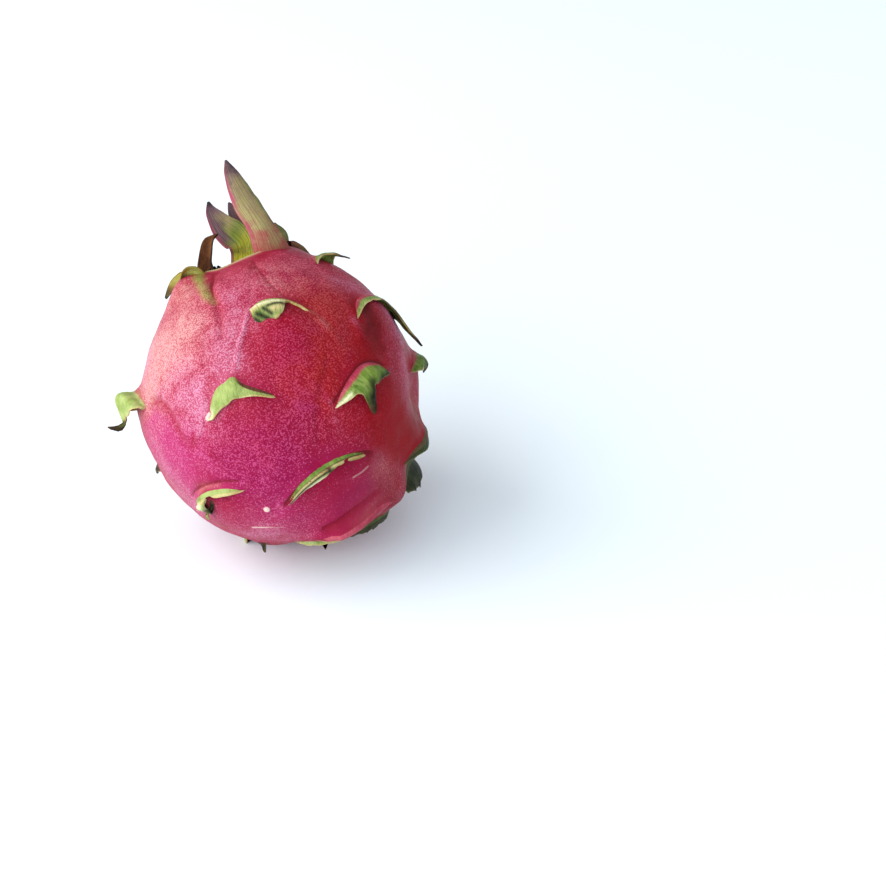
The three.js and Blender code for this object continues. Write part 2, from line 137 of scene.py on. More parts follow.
# Blade of a scale. WAVE is in degrees, WEAR and WAVES count the waves of its edge and of its curl.
EDGE_THICKNESS = 0.45
THICKNESS_FALL = 0.6
LEAST_LENGTH = 0.1
ARCH_MOST = 2.25
CURVE_PAST = 0.5
TIP_CROWDING = 1.4
TAIL_SHARE = 0.07
WEAR = 4
FINE_WEAR = 11
FINE_WEAR_SHARE = 0.6
WAVE = 25
WAVES = 2.2
BLADE_LUMP = 0.35
BLADE_LUMP_SIZE = 2.2

# Where a blade's colours begin and end, in mm from its foot, in shares of its reach for the dry tip.
BLUSH_EASE = 0.6
EDGE_LINE = 0.4
EDGE_LOST = 0.8
DRY_START = (0.85, 1.1)
DARK_START = (-1.5, 0.6)
# Painted shade along the right half of a blade's root: how far along it runs, and where across it starts.
RIM_SHADE_TOP = (0, 0.45)
RIM_SHADE_SIDE = (-0.05, 0.1)

# The scales that face the front. width is the span of the foot that the scale grows from, in mm, and turn
# its slant. The foot is an arch with its rise at each side, or knots of (share of the half width, mm
# down). A plain blade narrows from its reach to its ends round a tip (-1 left, 1 right), as sharply as
# point says and with a thin tail; others have knots of (share, mm long). gather draws the blade in to its
# tip, ragged wears its edge, and bend is the angles off the rind that it runs through from root to tip.
# swell is the height of the swelling under it, flare that of the rind's lip above it, which fades over
# flare_run, axil how deep the crease is that lies axil_run above the foot, and ridges the two folds that
# run down from the foot's ends. green, light and dark are shares of those tones, and one more share is of
# the dark red painted along the right half of the blade's root as shade in the crease above it; blush is
# where the skin turns green. strokes are soft lines on the blade, each (mask, start, end, width) with its
# places in (share, mm from the foot).
FRONT_SCALES = [
    dict(down=53, around=15, width=18.4, reach=9, swell=1.4, flare=0.9, light=0.5, blush=-0.3,
         foot=((-1, -1.0), (-0.6, -1.1), (0, 0.3), (0.33, 1.7), (0.62, 3.3), (1, 7.2)),
         blade=((-1, 8), (-0.88, 11.5), (-0.65, 11), (-0.3, 9), (0, 6), (0.2, 1.2), (0.5, 0.7), (1, 0.1)),
         bend=(50, 30, -10, -50, -55, -30), ridges=(0.6, 0), ragged=0.05, gather=0,
         strokes=(("cream", (-1, 1.2), (-0.1, 1.6), 1.5), ("edge", (-0.95, 2.6), (1, 1.2), 1.3),
                  ("torn", (-0.85, 5.2), (-0.5, 8.6), 0.9), ("torn", (-0.98, 5.6), (-0.78, 9.6), 0.8),
                  ("torn", (-0.6, 4.4), (-0.4, 7), 0.7), ("torn", (-0.45, 4.2), (0.1, 3.4), 0.6),
                  ("edge", (-0.3, 5.5), (0, 4.5), 1.2), ("edge", (-0.9, 11), (-0.2, 8.2), 0.7))),
    # The second has dark red painted along the right half of its root: painted shade in the crease above
    # the blade.
    dict(down=81.5, around=-11.5, width=26, reach=6.4, swell=1.8, flare=0.6, light=0.45,
         foot=((-1, 8.4), (-0.78, 4.5), (-0.54, 1.3), (-0.3, 0.4), (-0.02, -0.4), (0.13, 2.0),
               (0.3, 3.6), (0.54, 5.3), (1, 8.4)),
         blade=((-1, 1), (-0.82, 4.2), (-0.62, 5.6), (-0.4, 6.2), (-0.2, 6.0), (-0.02, 6.0), (0.13, 3.6),
                (0.3, 2.2), (0.54, 1.3), (0.8, 0.9), (1, 0.2)),
         bend=(14, 12, -4), ridges=(0.9, 0), ragged=0, gather=0.1, blush=-0.5, rim_shade=1.0,
         strokes=(("cream", (-1, 0.4), (-0.84, 3.0), 1.3),)),
    dict(down=90, around=37, width=26, turn=14, reach=13, swell=1.6, flare=1.3, light=0, blush=0.5,
         foot=((-1, 6.2), (-0.7, 4.5), (-0.26, 1.4), (0.16, -0.3), (0.45, 0), (0.7, 1.3), (1, 4.4)),
         blade=((-1, 0.6), (-0.7, 2.2), (-0.48, 3.6), (-0.32, 5), (-0.24, 7), (-0.19, 11.5),
                (-0.14, 14.8), (-0.04, 15.2), (0.02, 12.5), (0.07, 8.8), (0.25, 7.4), (0.5, 6.2),
                (0.8, 3.8), (1, 0.3)),
         bend=(30, 50, 15, -30, -40, -30), axil=1.0, axil_run=1.3, ragged=0.04, ridges=(0.4, 0),
         gather=0.05,
         strokes=(("dark", (-0.1, 9), (-0.08, 16.5), 3.2), ("dark", (0.04, 6.5), (0, 12), 1.9),
                  ("dark", (0.1, 8.6), (0.8, 3.8), 1.0), ("dark", (0.7, 5.2), (1, 0.5), 1.8),
                  ("cream", (-1, 0.6), (-0.5, 2.2), 0.7))),
    dict(down=60.5, around=67, width=31, turn=5, reach=15, swell=1.8, flare=1.2, light=0.25,
         foot=((-1, 4.6), (-0.8, 1.9), (-0.5, -0.3), (0, 0), (0.5, 1.4), (1, 5.5)),
         blade=((-1, 0.3), (-0.8, 1.6), (-0.4, 2.4), (0, 2.6), (0.3, 4), (0.46, 8), (0.58, 15.5),
                (0.66, 19), (0.74, 15), (0.88, 7), (1, 1)),
         bend=(18, 14, -8, -15, -18, -16, -14), ridges=(1, 0), ragged=0.05, gather=0.1,
         strokes=(("dark", (0.2, 3), (0.64, 11), 1.8), ("dark", (0.66, 15), (0.66, 19), 1.6),
                  ("dark", (0.7, 4), (0.9, 4), 1.6))),
    dict(down=31, around=75, width=18, reach=6, tip=0.3, tail=5, light=0.1, bend=(15, 45, 5, -5, 0),
         swell=0.6, flare=0.8, ridges=(0, 0)),
    dict(down=72, around=-84, width=28, rise=(6, 6), reach=16, tip=0.1, tail=7, point=0.62,
         bend=(40, 95, 70, -5, -22, -22, -15, 95, 120), swell=2.4, flare=1.4, light=0.8),
    dict(down=86, around=95, width=23, rise=(5, 5), turn=8, reach=8.5, tip=0.1, tail=2, point=0.6,
         bend=(30, 50, 20, -30, -50), swell=1.8, flare=1.4, light=0, dark=0.2,
         strokes=(("dark", (-0.3, 6.6), (0.5, 6.6), 2.8), ("dark", (0.4, 2), (0.4, 8), 3))),
    dict(down=101, around=-104, width=24, rise=(5, 5), reach=4, tip=0.3, bend=(30, 60, 20, 0), swell=1.9,
         flare=1.0, light=0.2, dark=0.95),
    # The ninth's blade carries painted light: its dry line at the foot and its first torn line are
    # painted shade in the crease and in the slit, its cream line is a painted highlight along its fold,
    # and its torn line from 2.9 to 3.9 mm out is painted shade under that fold.
    dict(down=125.4, around=14.4, width=35, turn=20, reach=6, swell=2.0, flare=1.0, light=0,
         foot=((-1, 6.6), (-0.54, 1.5), (-0.16, -0.7), (0.21, -0.9), (0.53, 0.8), (0.79, 3.6), (1, 7)),
         blade=((-1, 0.1), (-0.9, 0.6), (-0.8, 2.0), (-0.56, 2.8), (-0.2, 4.0), (0.05, 4.2), (0.16, 3.2),
                (0.26, 2.0), (0.6, 1.9), (0.8, 1.2), (0.9, 0.2), (1, 0.1)),
         bend=(40, 40, -10, -50, -30), axil=1.2, axil_run=0.6, blush=-0.6, ragged=0.12, gather=0,
         ridges=(0.2, 0.2),
         strokes=(("dry", (-1, 0.1), (0.9, 0.1), 0.35), ("edge", (-0.9, 0.7), (0.9, 0.7), 0.7),
                  ("torn", (-0.8, 1.2), (0.1, 1.4), 0.4), ("cream", (-0.9, 1.5), (0.02, 2.6), 0.7),
                  ("torn", (-0.5, 2.9), (0.05, 3.9), 0.5), ("torn", (0.1, 1.0), (0.14, 3.4), 1.1))),
    dict(down=121.5, around=-43, width=28, turn=3, reach=5, swell=1.6, flare=1.7, light=0.5,
         foot=((-1, 4.4), (-0.67, 1.7), (-0.3, 0.3), (0.04, -0.1), (0.34, 0.5), (0.68, 2.2), (1, 4.7)),
         blade=((-1, 1.6), (-0.8, 2.6), (-0.52, 2.8), (-0.42, 6), (-0.34, 7.4), (-0.28, 4.4),
                (-0.2, 1.5), (0.2, 1.0), (0.6, 0.8), (1, 0.2)),
         bend=(25, 70, 0, -60, -50), axil=0.6, axil_run=3.4, blush=-0.4, ragged=0.2, gather=0.1,
         ridges=(0.2, 0.2),
         strokes=(("cream", (-1, 1.4), (-0.4, 2.2), 1.5), ("cream", (-0.45, 3.6), (-0.3, 4.6), 0.9),
                  ("torn", (-0.34, 4.6), (-0.3, 9), 0.9), ("torn", (-0.62, 2.6), (-0.46, 6), 0.5),
                  ("torn", (-0.2, 2.2), (0.1, 1.9), 0.5), ("edge", (-0.4, 1.0), (0.9, 0.5), 0.6))),
    dict(down=121, around=84, width=26, turn=36, reach=4.2, swell=2.8, flare=3.6, flare_run=8,
         foot=((-1, 3.5), (-0.5, 0.8), (0, 0), (0.5, 1), (1, 4)), light=0.1, blush=0.2,
         blade=((-1, 0.3), (-0.6, 1.6), (-0.2, 2.6), (0.1, 3.8), (0.35, 6.4), (0.5, 6), (0.8, 2.6),
                (1, 0.5)),
         bend=(10, 20, 0, -20), ragged=0.16, gather=0, dark=0.92,
         strokes=(("dark", (0.3, 5), (0.45, 7.5), 1.6), ("dark", (-1, 1.4), (0.3, 3.6), 0.5))),
    dict(down=131.5, around=101, width=21, rise=(3, 3), turn=38, reach=9.5, tip=0.1, point=0.4,
         bend=(45, 65, 40, 10), swell=2.4, flare=1.2, dark=0.97, ragged=0.16, blush=-0.5),
    dict(down=152, around=40, width=30, turn=26, reach=3, swell=2.6, flare=3.2, flare_run=10, green=0,
         foot=((-1, 4), (-0.4, 0.6), (0, 0), (0.5, 0.6), (1, 4)),
         blade=((-1, 0.4), (-0.5, 2.6), (0, 3), (0.5, 2.6), (1, 0.4)), bend=(5, -10, -20), ragged=0.1,
         gather=0),
    dict(down=157, around=70, width=21, rise=(3, 3), turn=38, reach=5, tip=0.1, point=0.5,
         bend=(25, 20, 0), swell=1.6, flare=0.8, dark=0.95, ragged=0.15, blush=-0.5),
    dict(down=169, around=22, width=20, rise=(2, 2), reach=9,
         blade=((-1, 0.6), (-0.5, 2.4), (0.1, 3.0), (0.6, 2.8), (1, 0.6)), bend=(25, 40, 30), swell=0.6,
         flare=0.6, light=0.9),
    dict(down=157, around=-70, width=7, rise=(2, 2), reach=3.4, point=1.8, bend=(40, 60, 50), swell=0.8,
         flare=0.5, dark=1.0),
    dict(down=125.5, around=-51, width=2.6, rise=(0.5, 0.5), turn=-25, reach=5.5, point=1.2,
         bend=(60, 20, -30), swell=0.1, flare=0.1, dark=0.4, light=1),
    dict(down=125, around=-46, width=2.2, rise=(0.5, 0.5), turn=-40, reach=5, point=1.2,
         bend=(50, 10, -30), swell=0.1, flare=0.1, dark=1.0),
]
# What a scale has where it says nothing else.
PLAIN_SCALE = dict(foot=None, blade=None, rise=(4, 4), tip=0, point=1.1, tail=0, gather=0.45, axil=0,
                   axil_run=2, flare_run=4.5, blush=0.3, ragged=0.08, green=1.0, dark=0, light=0.4,
                   rim_shade=0, ridges=(0.3, 0.3), strokes=(), turn=0)

# Fine lines in the rind, each through places on it: its width, how deep it lies, and how much of its mask
# it takes. Most fade out along their way. The crease and fold lines are painted darker, as shade down in
# their grooves, the pale lines lighter, as a highlight along their raised ridges, and the wide line under
# the fourth scale is painted shade below its overhang.
RIND_LINES = [
    dict(mask="crease", line=((21, 12), (28, 13), (41, 14.5), (50.2, 18.5), (58, 24), (66, 28)),
         width=1.6, depth=0.3, strength=0.62),
    dict(mask="crease", line=((24, 9), (28.5, 7.3), (42.3, 3.2), (51, 1.4)), width=1.5, depth=0.25,
         strength=0.58),
    dict(mask="crease", line=((26, 11), (38, 10), (49, 14)), width=1.2, depth=0.15, strength=0.56),
    dict(mask="fold_shade", line=((24, -31), (37, -23), (45, -17), (51, -15), (61, -14.5)), width=2.2,
         depth=0.9),
    dict(mask="crease", line=((20, -34), (30, -27), (37, -22.5), (43, -18)), width=1.1, depth=0.4,
         strength=0.9),
    dict(mask="fold_shade", line=((78.5, -62), (79.5, -53), (84.4, -48.6), (90, -45.8), (98, -44)), width=2.8,
         depth=0.9),
    dict(mask="pale", line=((80, -61), (77, -54.5), (69.7, -58)), width=1.6, depth=-0.4, strength=0.8),
    dict(mask="pale", line=((80, -52), (77.4, -49.6), (71, -52)), width=1.6, depth=-0.4, strength=0.8),
    dict(mask="pale", line=((54.5, -0.8), (60, -3.4), (65.5, -6.8), (71, -9), (77, -11)), width=1.3,
         depth=-0.6),
    dict(mask="salmon", line=((60, 26), (65, 30), (71, 33), (79, 35)), width=1.8, depth=-0.3,
         strength=0.22),
    dict(mask="pale", line=((84, -27), (89, -28.8), (95.4, -33), (99, -37)), width=1.3, depth=-0.6),
    dict(mask="salmon", line=((119.5, -50), (117.3, -44), (118.5, -35)), width=1.1, depth=-0.4,
         strength=0.9),
    dict(mask="fold_shade", line=((153, 12), (150.6, 20), (147.2, 29), (144.1, 37.3), (140.5, 46.5)),
         width=2.0, depth=1.3),
    dict(mask="russet", line=((154, 22), (151.2, 34), (148.4, 46)), width=3.2, depth=-1.2, strength=0.9),
    # Painted shade on the rind below the fourth scale's overhang.
    dict(mask="under", line=((64, 56.5), (70, 54.5), (79, 52)), width=6.5, depth=0.3),
    dict(mask="fold_shade", line=((82, 27), (93, 20), (104, 16), (112, 15)), width=2.4, depth=0.3,
         strength=0.45, fades=False),
    dict(mask="leaf", line=((18, -62), (25, -43), (34, -30.5), (43, -21)), width=2.4, depth=-0.3),
    dict(mask="cork", line=((90.4, -25.4), (91.8, -27)), width=1.15, depth=-1.2, fades=False),
    dict(mask="cork", line=((135, -20), (135.5, -20)), width=1.6, depth=-0.5, fades=False),
    dict(mask="cork", line=((142.5, -38), (145, -27), (147.5, -16)), width=1.2, depth=-0.1,
         strength=0.62),
    dict(mask="cork", line=((129.5, 28), (128.6, 32.5), (127, 37)), width=1.3, depth=-0.2, strength=0.5,
         fades=False),
]
PLAIN_LINE = dict(strength=1.0, fades=True)
LINE_FADE = 0.5

# Hollows between the swellings, and low bumps where the depth is less than nothing: place, radius and
# depth.
HOLLOWS = [(103, 83, 9, 3.2), (131, 95, 8, 3.6), (131, 78, 5, 2.0), (74, 84, 8, 0.8), (130, 50, 6, 1.3),
           (142, 78, 7, -3.4), (163, 18, 8, -3.0), (36, -60, 9, -1.0)]

# Where the rind's colour leans one way: place, radius in mm and strength, for each mask.
TINTS = {
    # The places on the upper left flank, which faces the window, are partly its paler colour and partly
    # painted sheen from the window; the others are the rind's own colour.
    "salmon": ((57, -40, 14, 0.6), (62, -64, 14, 1.0), (71, -66, 8, 0.85), (62, -78, 8, 0.6),
               (50, -28, 7, 0.3), (34, -50, 7, 0.4), (40, 15, 12, 0.25), (151, 46, 6, 0.4),
               (74, -80, 8, 0.6), (127, 45, 4, 0.35), (131, 52, 4.5, 0.5)),
    "pink": ((88, -64, 7, 1.0), (97, -66, 8, 0.8), (104, -49, 15, 0.7), (95, -56, 9, 0.5),
             (118, -58, 11, 0.6), (136, -36, 12, 0.7), (142, -4, 12, 0.7), (133, 34, 10, 0.6),
             (44, -5, 9, 0.35)),
    "russet": ((34, -50, 6, 0.8), (89, 14, 9, 0.8), (72, 27, 13, 0.8), (57, 32, 10, 0.6),
               (57, 52, 9, 0.6), (90, 18, 9, 0.5), (104, 26, 10, 0.6), (118, 62, 10, 0.7),
               (112, 80, 10, 0.8), (84, 46, 9, 0.6)),
    "brown": ((118.5, -46, 4.5, 0.8), (141, 74, 8, 1.0), (134, 56, 6, 0.6)),
    "magenta": ((107, -16, 17, 1.0), (128, -10, 15, 1.0), (72, 12, 8, 0.7), (134, 30, 11, 0.8),
                (142, 8, 12, 0.8), (100, 14, 8, 0.4)),
    "bare": ((104, -49, 13, 0.15), (137, -28, 12, 0.2), (138, 24, 14, 0.3), (118, 60, 12, 0.5)),
    # Deep red of the right side; below the fourth scale and beside the seventh it is partly painted shade
    # from their overhangs.
    "crimson": ((104, 48, 11, 1.0), (114, 50, 8, 1.0), (119, 62, 7, 0.8), (78, 50, 8, 0.8),
                (66, 55, 6, 1.0), (90, 44, 8, 0.5), (124, 68, 7, 0.8), (88, 80, 5, 0.8),
                (112, 84, 7, 0.8)),
    # Painted shade under the scales low on the right side.
    "under": ((143, 90, 5, 0.7), (112, 76, 5, 0.4)),
    "deep": ((66, 6, 7, 0.8), (73, 1, 6, 0.6)),
    # Painted sheen: pale lilac where the window and the bright room are mirrored, on the left flank, low
    # on the left, in the middle and along the right edge.
    "pale": ((60, -78, 8, 0.6), (62, -14, 6, 0.75), (48, -6, 6, 0.5), (74, -14, 6, 0.7),
             (84, -28, 9, 0.55), (80, -38, 9, 0.6), (51, 57, 5, 0.5), (57, 65, 5, 0.5), (61, 78, 5, 0.8),
             (70, 76, 5, 0.9), (78, 74, 5, 0.7), (90, 70, 4, 0.5), (100, 67, 4, 0.6), (109, 67, 3, 0.5),
             (150, -40, 9, 0.7), (120, -70, 9, 0.8), (98, -66, 7, 0.4)),
}

# The tints and the scales that face away. Each pair is a mean and how far chance moves it.
BACK_TINT_SEED = 29
BACK_TINT_COUNT = 16
BACK_TINT_ORDER = ("salmon", "magenta", "russet", "magenta")
BACK_TINT_DOWN = (90, 62)
BACK_TINT_AROUND = (180, 72)
BACK_TINT_RADIUS = (12, 3)
BACK_TINT_STRENGTH = (0.7, 0.2)
BACK_RINGS = [
    (28, (152, 212)),
    (57, (122, 177, 232)),
    (86, (148, 204)),
    (112, (126, 176, 226)),
    (140, (144, 238)),
    (157, (178,)),
]
BACK_SEED = 7
BACK_PLACE_SPREAD = 6
BACK_WIDTH = (25, 3)
BACK_LEAST_WIDTH = 0.65
BACK_TURN = (0, 12)
BACK_REACH = (7.5, 2)
BACK_TIP = (0, 0.5)
BACK_BEND = (62, 12)
BACK_TAIL = (2.5, 1.5)
BACK_SWELL = (1.7, 0.3)

# The crown's scales. Each knot is a place on the blade's middle line and its width there; breadth is
# the bearing of its width at root and point, hollow how far its sides lift (as a share of its width)
# and thick its thickness at the root. tones says how much of each colour it takes along its length,
# halves how much its left and right side take, how far out (0 middle, 1 edge) and how far along that
# starts. ruffle is the height of its waves, and shoulder a place on the rind, how far it rises there and
# how wide.
CROWN_SCALES = [
    dict(knots=((10.8, -10.2, 39, 16), (10.4, -9.7, 46.3, 12), (9.7, -9, 51.6, 10.4), (8.5, -8, 56, 8.9),
                (5.9, -6, 64.5, 8.2), (4.3, -4.5, 71.8, 5.9), (3.6, -4, 75.4, 3.9),
                (3.1, -3.5, 78.9, 0.8)),
         breadth=(112, 100), hollow=-0.14, thick=2.8,
         tones=dict(skin=(1, 1, 0.45, 0.1, 0, 0, 0, 0), pink=(0.2, 0.3, 0.3, 0.1, 0, 0, 0, 0),
                    purple=(0, 0, 0, 0, 0.1, 0.3, 0.8, 1), burnt=(0, 0, 0, 0, 0, 0, 0.1, 0.5)),
         halves=dict(pink=(0.8, 0.1, 0.75), green=(0, 0.55, 0.7), purple=(0.1, 0.4, 0.85))),
    dict(knots=((-2.8, 11.5, 40, 8.4), (-2.2, 11.5, 43.3, 8), (-1.1, 11.8, 47.4, 7.8),
                (-0.3, 12.4, 51.4, 7.8), (-0.4, 12.6, 54.1, 8.6), (-1.5, 12.4, 56.3, 10),
                (-3.7, 12, 59.4, 9.4), (-5.5, 11.4, 63.1, 6.8), (-6.6, 11, 66.1, 4.2),
                (-7, 10.5, 69.4, 0.8)),
         breadth=(92, 88), hollow=0.14, thick=2.2,
         tones=dict(yellow=(1, 1, 1, 0.5, 0, 0, 0, 0), green=(0, 0, 0.1, 0.9, 0.9, 0.4, 0, 0),
                    purple=(0, 0, 0, 0, 0.1, 0.5, 0.9, 1),
                    # The dark band about a third of the way along is painted shade in the fold where the
                    # stalk bends into the blade; the dark at the end is its dried point.
                    burnt=(0, 0, 0, 0, 0, 0.5, 0.1, 0, 0, 0, 0, 0, 0, 0.1, 0.5)),
         halves=dict(pink=(0.9, 0, 0.8), purple=(0.95, 0.2, 0.15, 0.5))),
    dict(knots=((-0.5, 15, 41, 6.5), (-0.1, 15, 48.8, 6.5), (0.5, 15, 53.4, 6.8), (0.8, 15, 58.9, 6.8),
                (0.1, 14.5, 64.2, 4.6), (-0.3, 14.2, 66.4, 2.8), (-0.7, 14, 68, 0.5)),
         breadth=(110, 110), hollow=0.14, thick=2,
         tones=dict(pink=(1, 1, 0.9, 0.2, 0), purple=(0, 0, 0, 0.9, 1)),
         halves=dict(pink=(0.5, 0.5, 0.7))),
    dict(knots=((12.7, -1, 41, 9), (13, 0, 48.1, 8.2), (13.9, 0, 51.5, 6.8), (12.7, 0, 55.8, 1.4)),
         breadth=(160, 160), hollow=0.16, thick=2.2,
         tones=dict(green=(0.2, 0.4, 0.6, 0.6), burnt=(0, 0, 0, 0.3)),
         halves=dict(purple=(0.4, 0.4, 0.7))),
    dict(knots=((-12.4, -3.6, 40, 7), (-12.2, -3.4, 44.5, 6.4), (-11.6, -3, 48.5, 5.4),
                (-10.2, -3, 52.3, 4.8), (-8.2, -2.2, 55.5, 4.2), (-6, -1, 56.8, 1.4)),
         breadth=(75, 60), hollow=0.25, thick=1.8, ruffle=0.6,
         tones=dict(dry=(1, 1, 1, 1), burnt=(1, 0.5, 0, 0, 0, 0.5)), halves=dict(burnt=(0, 0.9, 0.6))),
    dict(knots=((-11.6, -4.4, 40, 4.5), (-10.4, -4.4, 44.2, 4), (-8.6, -4.4, 45.6, 2.6),
                (-6.8, -4.4, 44.6, 0.9)),
         breadth=(80, 80), hollow=0.2, thick=1.2, tones=dict(burnt=(1, 1, 1, 1)), halves=dict()),
    dict(knots=((-14.6, -7.6, 39, 8), (-15.2, -7.6, 43, 7.6), (-16.6, -7.4, 45.6, 7),
                (-18.8, -7, 46.4, 6.4), (-21.2, -6.6, 45.5, 5.8), (-24.2, -6, 43.2, 4.8),
                (-26.8, -5.5, 40.8, 1.6)),
         breadth=(228, 220), hollow=0.1, thick=2.2, ruffle=1.1,
         tones=dict(skin=(0.8, 0.1, 0, 0, 0), green=(0.6, 0.9, 0.5, 0.1, 0, 0),
                    yellow=(0, 0.3, 0.5, 0.5, 0.6, 0.3), dry=(0, 0, 0, 0.1, 0.3, 0.6, 0.4),
                    burnt=(0, 0, 0, 0, 0, 0.3, 1)),
         halves=dict(dry=(0.6, 0.5, 0.75)), shoulder=(-18, -8.5, 42, 4.6, 6.5)),
    dict(knots=((15.2, 3, 43, 7), (16.4, 3, 48.4, 6), (18.6, 3, 46.4, 5), (21.4, 3, 42.4, 1.4)),
         breadth=(150, 150), hollow=0.1, thick=1.4,
         tones=dict(skin=(1, 0.9, 0.6, 0.2), dry=(0.2, 0.5, 0.8, 1)), halves=dict(burnt=(0.5, 0.5, 0.6))),
]
CROWN_LEAST_WIDTH = 0.6
CROWN_TIP_THICKNESS = 0.5
CROWN_THICKNESS_FALL = 0.7
CROWN_EDGE = 0.6
CROWN_SWAY = 0.12
CROWN_SWAYS = 3.5
CROWN_HOLLOW_LEVEL = 0.3
CROWN_LUMP = 0.3
CROWN_LUMP_SIZE = 4.0
CROWN_LUMP_SEED = 40
CROWN_LUMP_HEADING = (0.6, -0.6, 0.3)
CROWN_SHOULDER = (0.5, 5.0)
CROWN_SIDE_START = 0.17
CROWN_SIDE_EASE = 0.15
CROWN_ALONG_EASE = 0.13

# Tones of the rind, each with its strength and its colour between the flecks and on them.
RIND_TONES = (
    ("russet", 0.85, (146, 20, 20), (194, 68, 62)),
    ("magenta", 0.85, (134, 4, 60), (196, 72, 132)),
    ("pink", 0.9, (166, 38, 92), (192, 100, 144)),
    ("brown", 0.8, (136, 50, 56), (170, 92, 90)),
    # Salmon: a paler colour, which on the lit upper left flank is partly painted sheen.
    ("salmon", 1.0, (178, 86, 92), (208, 164, 160)),
    ("deep", 0.6, (140, 4, 30), (184, 60, 84)),
    # Painted sheen and highlight: a pale lilac.
    ("pale", 0.9, (172, 70, 98), (204, 150, 176)),
    # Painted shade: a darker red down in the folds.
    ("fold_shade", 0.8, (134, 14, 34), (176, 52, 72)),
    ("leaf", 1.0, (116, 126, 50), (190, 170, 110)),
    # Crimson: a deep red, which in places is partly painted shade under the scales.
    ("crimson", 0.9, (138, 0, 12), (164, 12, 34)),
    # Under the scales: a deeper colour with painted shade over it.
    ("under", 0.9, (84, 0, 10), (104, 4, 16)),
)
FLECK_TONE = (202, 84, 112)
FLECK_STRENGTH = 0.66
FLECK_COVER = 0.5
FLECK_COVERS = (("salmon", 0.12), ("pale", 0.08), ("deep", -0.06), ("bare", -0.5), ("under", -0.4))

# Sizes of the patterns, in waves or cells a metre, and heights of the bumps in metres.
FLECK_SCALE = 1700
FLECK_BEND_SCALE = 500
FLECK_BEND = 0.0012
FLECK_DOTS = 0.35
FLECK_WORMS = 0.65
WORM_SCALE = 1.25
MOTTLE_SCALE = 170
GRAIN_SCALE = 1100
VEINS_ALONG = 1.6
VEINS_ACROSS = 9
RIND_BUMP = 0.00012
SCALE_BUMP = 0.00015
CROWN_BUMP = 0.0002
RIND_GLOSS = 0.08
BLADE_GLOSS = 0.07
BLADE_UNEVEN = 1.6

# Node groups that the materials share, put here once they are made.
GROUPS = {}

# Where the fruit stands in the picture, and how the camera looks at it.
PICTURE_SIDE = 886
FRUIT_MIDDLE = (281.3, 399.2)
MM_PER_PIXEL = 0.324
LENS = 85
SENSOR = 36
CAMERA_ELEVATION = 33
NEAREST = 0.01

# The pale surface, and the light of the room: places in metres, power in watts.
FLOOR_SIDE = 30
FLOOR_TINT = (0.885, 0.955, 1, 1)
FLOOR_ROUGHNESS = 0.9
ROOM_TINT = (0.88, 0.95, 1.0, 1)
ROOM_STRENGTH = 0.7
LIGHTS = (
    dict(name="window", place=(-1.2, -0.17, 0.83), aim=(0, 0, 0.05), size=1.8, power=24.8,
         tint=(1, 0.985, 0.975)),
    dict(name="right_fill", place=(0.6, 0.35, 0.3), aim=(0, 0, 0.05), size=0.4, power=0.3,
         tint=(0.92, 0.96, 1)),
    dict(name="front_bounce", place=(-0.5, -0.88, 0.4), aim=(0, 0, 0), size=0.8, power=6.5,
         tint=(0.86, 0.93, 1)),
)


def smooth(low, high, value):
    """Eased step from 0 at low to 1 at high."""
    share = np.clip((value - low) / (high - low), 0, 1)
    return share * share * (3 - 2 * share)


def bell(distance, width):
    """1 in the middle, falling away smoothly on both sides."""
    return np.exp(-(distance / width) ** 2)


def unit(rows):
    """Rows of numbers taken to unit length."""
    return rows / np.linalg.norm(rows, axis=1)[:, None]


def direction(down, around):
    """Unit vector from the middle of the upright fruit."""
    down, around = math.radians(down), math.radians(around)
    sine = math.sin(down)
    return np.array((sine * math.sin(around), -sine * math.cos(around), math.cos(down)))


def make_chance(seed):
    """Repeatable chance, from -1 to 1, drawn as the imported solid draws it."""
    state = [seed]

    def chance():
        state[0] = (state[0] * CHANCE_STEP) % CHANCE_SIZE
        return 2 * state[0] / CHANCE_SIZE - 1

    return chance


def about(pair, drawn):
    """A mean moved by its spread as far as chance has drawn."""
    mean, spread = pair
    return mean + spread * drawn


LAY_BACK = np.array(Matrix.Rotation(-math.radians(LEAN_BACK), 3, "X")
                    @ Matrix.Rotation(-math.radians(LEAN_LEFT), 3, "Y"))


def rest_point():
    """Where the smooth body has its lowest point as it lies, in the upright fruit's frame."""
    floorward = LAY_BACK.T @ np.array((0, 0, -1))
    point = floorward * np.array((BODY_RADIUS, BODY_RADIUS, BODY_HALF_LENGTH)) ** 2
    return point / math.sqrt(point @ floorward)


REST_POINT = rest_point()
REST_DIRECTION = REST_POINT / np.linalg.norm(REST_POINT)
MIDDLE = -(LAY_BACK @ REST_POINT) - np.array((0, 0, REST_DEPTH))


def lay(points):
    """Upright millimetres to the row frame's metres, flat where the fruit meets the floor."""
    laid = points @ LAY_BACK.T + MIDDLE
    laid[:, 2] = np.maximum(laid[:, 2], 0)
    return laid * MM


def lay_sheet(sheet):
    """The same for rows and columns of points."""
    return lay(sheet.reshape(-1, 3)).reshape(sheet.shape)


def place_scale(scale):
    """Adds what a scale leaves plain, and its axes: out, across to its right, and down to the stalk."""
    scale = {**PLAIN_SCALE, **scale}
    out = direction(scale["down"], scale["around"])
    around = math.radians(scale["around"])
    across = Vector((math.cos(around), math.sin(around), 0))
    across.rotate(Matrix.Rotation(math.radians(scale["turn"]), 3, Vector(out)))
    across = np.array(across)
    return {**scale, "out": out, "across": across, "downward": np.cross(across, out)}


